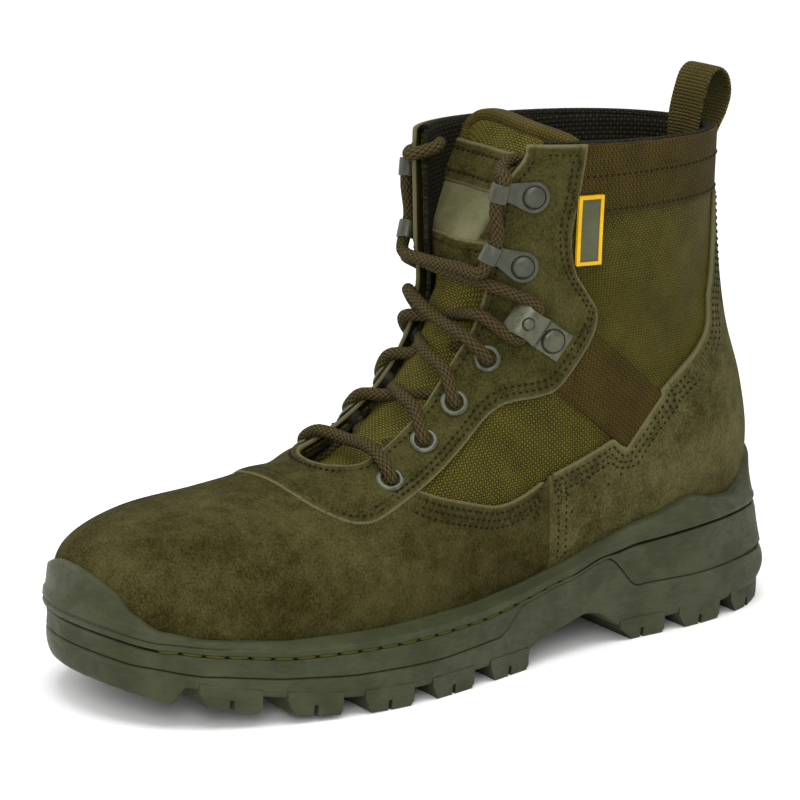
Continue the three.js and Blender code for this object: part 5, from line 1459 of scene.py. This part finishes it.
eyelets = {"places": [(5.9, 142), (6.8, 145), (7.9, 143), (9.7, 140)], "hole": 2.95, "radius": 5.1, "seat": 0.45}
hooks = {"places": [(13.9, 132), (16.6, 126)], "less": 2.6, "rivet": 4.1, "plate": 5.9, "neck": 3.45, "curl": 3.1, "lift": 1.1, "reach": 14.0}
locks = {"place": (11.8, 123), "plate": 5.7, "rivet": 4.3, "length": 14.8, "rise": 5.2, "width": 6.1}
eyeletProfile = [(2.95, -5.2), (3.25, -5.2), (3.4, 0.3), (4.9, 0.45), (5.15, 0.75), (5.05, 1.15), (4.6, 1.55),
                 (4.0, 1.75), (3.45, 1.6), (3.08, 1.15), (2.95, 0.5), (2.95, -5.2)]
for inner in (False, True):
    side = "inner" if inner else "outer"
    for k, (at, degrees) in enumerate(eyelets["places"]):
        shell = Shell()
        spin(shell, fitting(at, degrees, inner), eyeletProfile)
        finishMesh(f"eyeletRing_{side}_{k + 1}", shell, eyeletLook, [f"eyelet_{side}_{k + 1}"], merge=0.001)
    for k, (at, degrees) in enumerate(hooks["places"]):
        shell, place = Shell(), fitting(at, degrees, inner)
        level, reach = hooks["lift"], hooks["reach"] - (hooks["less"] if inner else 0)
        run = np.concatenate([-hooks["plate"] + 3.2 * np.linspace(0, 1, 9) ** 2, np.linspace(-2.2, reach - 0.8, 19)])
        half = np.where(run < 1, np.sqrt(np.maximum(hooks["plate"] ** 2 - np.minimum(run, 0) ** 2, 0)),
                        hooks["neck"] + (hooks["plate"] - hooks["neck"]) * (1 - smooth(-1.0, 11.0, run)))
        path = [(x, level + 0.5 * smooth(reach - 4.6, reach - 3.6, x)) for x in run]
        bend = np.linspace(-90, 150, 22)
        path += [(reach + hooks["curl"] * math.cos(math.radians(b)), level + 0.5 + hooks["curl"]
                  + hooks["curl"] * math.sin(math.radians(b))) for b in bend]
        half = np.concatenate([half, hooks["neck"] - 0.25 * np.exp(-((bend + 20) / 14) ** 2)])
        bendStrip(shell, place, path, half)
        dome(shell, place, hooks["rivet"], 1.5, level + 0.5)
        rivetShadeRing(place, hooks["rivet"], level + 0.6)
        piece = finishMesh(f"speedHook_{side}_{k + 1}", shell, hookLook, [f"speed_hook_{side}_{k + 1}"])
        sharpen(piece, 50)
    shell, place = Shell(), fitting(*locks["place"], inner)
    path = [(x, 1.1) for x in np.linspace(-locks["plate"], locks["plate"], 12)]
    bendStrip(shell, place, path, np.full(12, locks["plate"]), 1.2, 9.0)
    u = np.linspace(0, 1, 30)
    rise = locks["rise"] * np.sin(np.pi * np.clip(u, 0, 1)) ** 0.65
    path = np.stack([5.0 + locks["length"] * u, 1.3 + rise - 0.5 * (u > 0.98)], -1)
    bendStrip(shell, place, path, locks["width"] - 0.7 * np.sin(np.pi * u) ** 2, 1.1, 8.0)
    dome(shell, place, locks["rivet"], 1.4, 1.7)
    rivetShadeRing(place, locks["rivet"], 1.75)
    rivetShadeRing(place, 2.1, 1.3 + locks["rise"] + 0.42, 5.0 + locks["length"] * 0.62)
    dome(shell, place, 2.1, 0.9, 1.3 + locks["rise"] + 0.4, x=5.0 + locks["length"] * 0.62)
    piece = finishMesh(f"laceLock_{side}", shell, lockLook, [f"lace_lock_{side}"])
    sharpen(piece, 50)
finishMesh("rivetShadeRings", rivetShade, rivetShadeLook, merge=0.001)
print("fittings", len(rivetShade.faces))

# The lace: one cord, over the lowest eyelets, crossed up the throat, under the locks and round the hooks
lace = {"radius": 2.4, "step": 0.5, "sides": 30, "strands": 4, "pitch": 3.1, "relief": 0.24}


def leatherPoint(side, at, degrees, lift):
    turn = polarTurn(at, degrees if side == "outer" else 360 - degrees)
    return onForm(np.float64(at), turn, lift)


def throatEdge(side, at, lift, beyond=0.0):
    half = throat["instep"] + (throat["top"] - throat["instep"]) * np.clip((at - 9) / 9, 0, 1)
    half = half - (throat["lap"] * np.clip((at - 9) / 9, 0, 1) if side == "inner" else 0)
    half = half + (throat["cut"] * smooth(174, 190, formPoint(np.float64(at), np.float64(np.pi))[2]) if side == "outer" else 0)
    turns = np.linspace(np.pi * 0.5, np.pi, 300) * (1 if side == "outer" else -1) + (0 if side == "outer" else 2 * np.pi)
    points = formPoint(np.full(300, float(at)), turns)
    y = np.abs(points[:, 1] - splineRow(sectionRows, at)[9] * boot["upperWidth"])
    k = np.argmin(np.abs(y - half - beyond))
    return onForm(np.float64(at), turns[k], lift)


def otherSide(side):
    return "inner" if side == "outer" else "outer"


def eyeletPoint(side, k, ahead, z):
    return onFitting(fitting(*eyelets["places"][k], side == "inner"), ahead, 0.0, z)


# One run over the tongue: out of an eyelet, across, under the other edge and up through the next eyelet
def crossRun(side, k, over):
    at, after = eyelets["places"][k][0], eyelets["places"][k + 1][0]
    far = otherSide(side)
    start = throatEdge(side, at + 0.22 * (after - at), 2.7 if side == "outer" else 2.2)
    end = throatEdge(far, at + 0.8 * (after - at), -6.6)
    front = formNormal(np.float64(at), np.float64(np.pi))
    middle = [start + (end - start) * t + front * over * math.sin(math.pi * t) for t in (0.3, 0.5, 0.72)]
    return [eyeletPoint(side, k, 0.0, 0.6), eyeletPoint(side, k, 0.8, 2.4 if side == "outer" else 1.7), start, *middle, end,
            eyeletPoint(far, k + 1, 1.5, -7.2), eyeletPoint(far, k + 1, 0.0, -4.2)]


# Up from the lowest eyelets on one side: hidden first, then crossing three times, the lock and both hooks
def laceHalf(first):
    second = otherSide(first)
    low, up = eyelets["places"][0][0], eyelets["places"][1][0]
    dive = throatEdge(first, low + 0.3, -7.4)
    rise = throatEdge(second, up - 0.25, -7.6)
    points = [eyeletPoint(first, 0, 0.0, -3.5), eyeletPoint(first, 0, 1.6, -7.2), dive, (dive + rise) / 2, rise,
              eyeletPoint(second, 1, 1.4, -7.2), eyeletPoint(second, 1, 0.0, -4.0)]
    overNear = {"outer": 4.6, "inner": 0.2}
    points += crossRun(second, 1, overNear[second])
    points += crossRun(first, 2, overNear[first])
    top, toLock = eyelets["places"][3][0], locks["place"]
    lockFrame = fitting(*toLock, first == "inner")
    hookFrames = [fitting(*spot, second == "inner") for spot in hooks["places"]]
    down = -1 if first == "inner" else 1
    start = throatEdge(second, top + 0.1, 2.9 if second == "outer" else 2.3)
    end = throatEdge(first, toLock[0] - 0.85, 2.7)
    front = formNormal(np.float64(11.0), np.float64(np.pi))
    points += [eyeletPoint(second, 3, 0.0, 0.6), eyeletPoint(second, 3, 0.9, 2.6 if second == "outer" else 1.8), start]
    points += [start + (end - start) * t + front * (overNear[second] - 2.2) * math.sin(math.pi * t) for t in (0.35, 0.65)]
    points += [end, onFitting(lockFrame, 12.6, 6.5 * down, 3.6), onFitting(lockFrame, 12.3, 0.0, 3.6),
               onFitting(lockFrame, 12.8, -6.5 * down, 3.9)]
    start = throatEdge(first, toLock[0] + 0.75, 3.2)
    near = 14.0 - (hooks["less"] if second == "inner" else 0)
    low = onFitting(hookFrames[0], near + 0.2, 7.5 * -down, 5.0)
    front = formNormal(np.float64(13.0), np.float64(np.pi))
    points += [start] + [start + (low - start) * t + front * overNear[first] * 0.6 * math.sin(math.pi * t)
                         for t in (0.35, 0.7)]
    up = down
    points += [low, onFitting(hookFrames[0], near, 0.0, 5.1), onFitting(hookFrames[0], near + 0.2, 6.0 * up, 5.0),
               onFitting(hookFrames[1], near + 0.1, -6.0 * up, 5.0), onFitting(hookFrames[1], near, 0.0, 5.1),
               onFitting(hookFrames[1], near - 1.0, 5.5 * up, 4.4)]
    points += [throatEdge(second, 17.15, 0.3, -3.2), throatEdge(second, 17.45, -8.2, -2.0),
               throatEdge(second, 17.55, -9.4, 4.0)]
    return points


def laceRoute():
    low = eyelets["places"][0][0]
    bar = [eyeletPoint("inner", 0, 0.9, 1.7), throatEdge("inner", low + 0.05, 2.2),
           onForm(np.float64(low + 0.05), np.float64(np.pi), -1.6), throatEdge("outer", low + 0.05, 3.0),
           eyeletPoint("outer", 0, 0.9, 3.3)]
    left = laceHalf("inner")
    right = laceHalf("outer")
    return np.array(left[::-1] + bar + right)


# A smooth path through chosen points, by centripetal Catmull-Rom, at even steps
def smoothPath(points, step):
    p = np.vstack([2 * points[:1] - points[1:2], points, 2 * points[-1:] - points[-2:-1]])
    knots = np.concatenate([[0], np.cumsum(np.sqrt(np.linalg.norm(np.diff(p, axis=0), axis=1)))])
    out = []
    for i in range(1, len(p) - 2):
        t = np.linspace(knots[i], knots[i + 1], 24, endpoint=False)[:, None]
        k = knots[i - 1:i + 3]
        a1 = (k[1] - t) / (k[1] - k[0]) * p[i - 1] + (t - k[0]) / (k[1] - k[0]) * p[i]
        a2 = (k[2] - t) / (k[2] - k[1]) * p[i] + (t - k[1]) / (k[2] - k[1]) * p[i + 1]
        a3 = (k[3] - t) / (k[3] - k[2]) * p[i + 1] + (t - k[2]) / (k[3] - k[2]) * p[i + 2]
        b1 = (k[2] - t) / (k[2] - k[0]) * a1 + (t - k[0]) / (k[2] - k[0]) * a2
        b2 = (k[3] - t) / (k[3] - k[1]) * a2 + (t - k[1]) / (k[3] - k[1]) * a3
        out.append((k[2] - t) / (k[2] - k[1]) * b1 + (t - k[1]) / (k[2] - k[1]) * b2)
    fine = np.vstack(out + [points[-1:]])
    run = np.concatenate([[0], np.cumsum(np.linalg.norm(np.diff(fine, axis=0), axis=1))])
    even = np.linspace(0, run[-1], int(run[-1] / step) + 1)
    return np.stack([np.interp(even, run, fine[:, c]) for c in range(3)], -1), even


# Directions beside a path that turn as little as they can
def carriedFrame(path):
    ahead = unit(np.gradient(path, axis=0))
    aside = np.empty_like(path)
    aside[0] = unit(np.cross(ahead[0], [0.3, 0.2, 0.9]))
    for i in range(1, len(path)):
        aside[i] = unit(aside[i - 1] - ahead[i] * (aside[i - 1] @ ahead[i]))
    return aside, np.cross(ahead, aside)


# Round braid: the radius dips where two families of strands that wind both ways leave a hollow, which is also stored
# for painted shade in the lace's colour
def braidedCord(name, route, material, nodes):
    path, run = smoothPath(route, lace["step"])
    for _ in range(3):
        path[1:-1] = (path[:-2] + 2 * path[1:-1] + path[2:]) / 4
    aside, out = carriedFrame(path)
    turn = np.arange(lace["sides"]) * 2 * np.pi / lace["sides"]
    a = lace["strands"] * turn[None] / 2 + np.pi * run[:, None] / lace["pitch"]
    b = lace["strands"] * turn[None] / 2 - np.pi * run[:, None] / lace["pitch"]
    hollow = np.clip(1 - 1.5 * np.hypot(np.sin(a), np.sin(b)), 0, 1)
    crease = np.clip(1 - 3 * np.minimum(np.abs(np.sin(a)), np.abs(np.sin(b))), 0, 1)
    radius = lace["radius"] - lace["relief"] * (hollow + 0.45 * crease)
    section = radius[..., None] * np.stack([np.cos(turn), np.sin(turn)], -1)[None]
    shell = Shell()
    uv = np.stack(np.broadcast_arrays(turn[None] * lace["radius"], run[:, None]), -1)
    sweep(shell, path, aside, out, section, uv=uv, hollow=(hollow + 0.35 * crease).ravel())
    piece = finishMesh(name, shell, material, nodes)
    print(name, "length", round(run[-1]), "faces", len(piece.data.polygons))
    return piece


braidedCord("laceBraid", laceRoute(), laceLook, ["lace_crossings"])
# Camera at the photograph's place, soft studio light and a pale floor
view = {"eye": (851.3727, 983.9929, 410.0806), "right": (-0.8211172, 0.57059666, 0.0136381),
        "up": (-0.13361306, -0.21539681, 0.96734263), "lens": 151.624}


def rowDirection(v):
    return Vector((v[1], -v[0], v[2]))


right, up = rowDirection(view["right"]), rowDirection(view["up"])
back = right.cross(up).normalized()
eye = Vector(toRow(view["eye"]).tolist())
cameraData = bpy.data.cameras.new("photoCamera")
cameraData.lens, cameraData.sensor_width = view["lens"], 36
cameraData.clip_start, cameraData.clip_end = 0.05, 30
camera = bpy.data.objects.new("photoCamera", cameraData)
turned = Matrix((right, up, back)).transposed().to_4x4()
turned.translation = eye
camera.matrix_world = turned
bpy.context.scene.collection.objects.link(camera)
bpy.context.scene.camera = camera

world = bpy.data.worlds.new("studio")
world.use_nodes = True
world.node_tree.nodes["Background"].inputs["Color"].default_value = (1, 1, 1, 1)
world.node_tree.nodes["Background"].inputs["Strength"].default_value = 1.0
bpy.context.scene.world = world
bpy.context.scene.view_settings.view_transform = "Standard"


def addLight(name, where, target, size, power):
    data = bpy.data.lights.new(name, "AREA")
    data.shape, data.size, data.energy = "DISK", size, power
    light = bpy.data.objects.new(name, data)
    light.location = where
    light.rotation_euler = (Vector(target) - Vector(where)).to_track_quat("-Z", "Y").to_euler()
    bpy.context.scene.collection.objects.link(light)


addLight("topLight", (0.3, -0.2, 1.5), (0, 0, 0.1), 1.1, 14)
addLight("keyLight", (1.2, -0.9, 0.9), (0, 0, 0.1), 0.8, 8)
addLight("fillLight", (-1.0, -0.8, 0.7), (0, 0, 0.1), 1.0, 3)

paperLook, paperTree, paperShader = newMaterial("floorPaper", 0.9, 0.2)
paperShader.inputs["Base Color"].default_value = (0.9, 0.9, 0.9, 1)
floorMesh = bpy.data.meshes.new("floor")
floorMesh.from_pydata([(-6, -6, 0), (6, -6, 0), (6, 6, 0), (-6, 6, 0)], [], [(0, 1, 2, 3)])
floorPiece = bpy.data.objects.new("floor", floorMesh)
floorMesh.materials.append(paperLook)
bpy.context.scene.collection.objects.link(floorPiece)
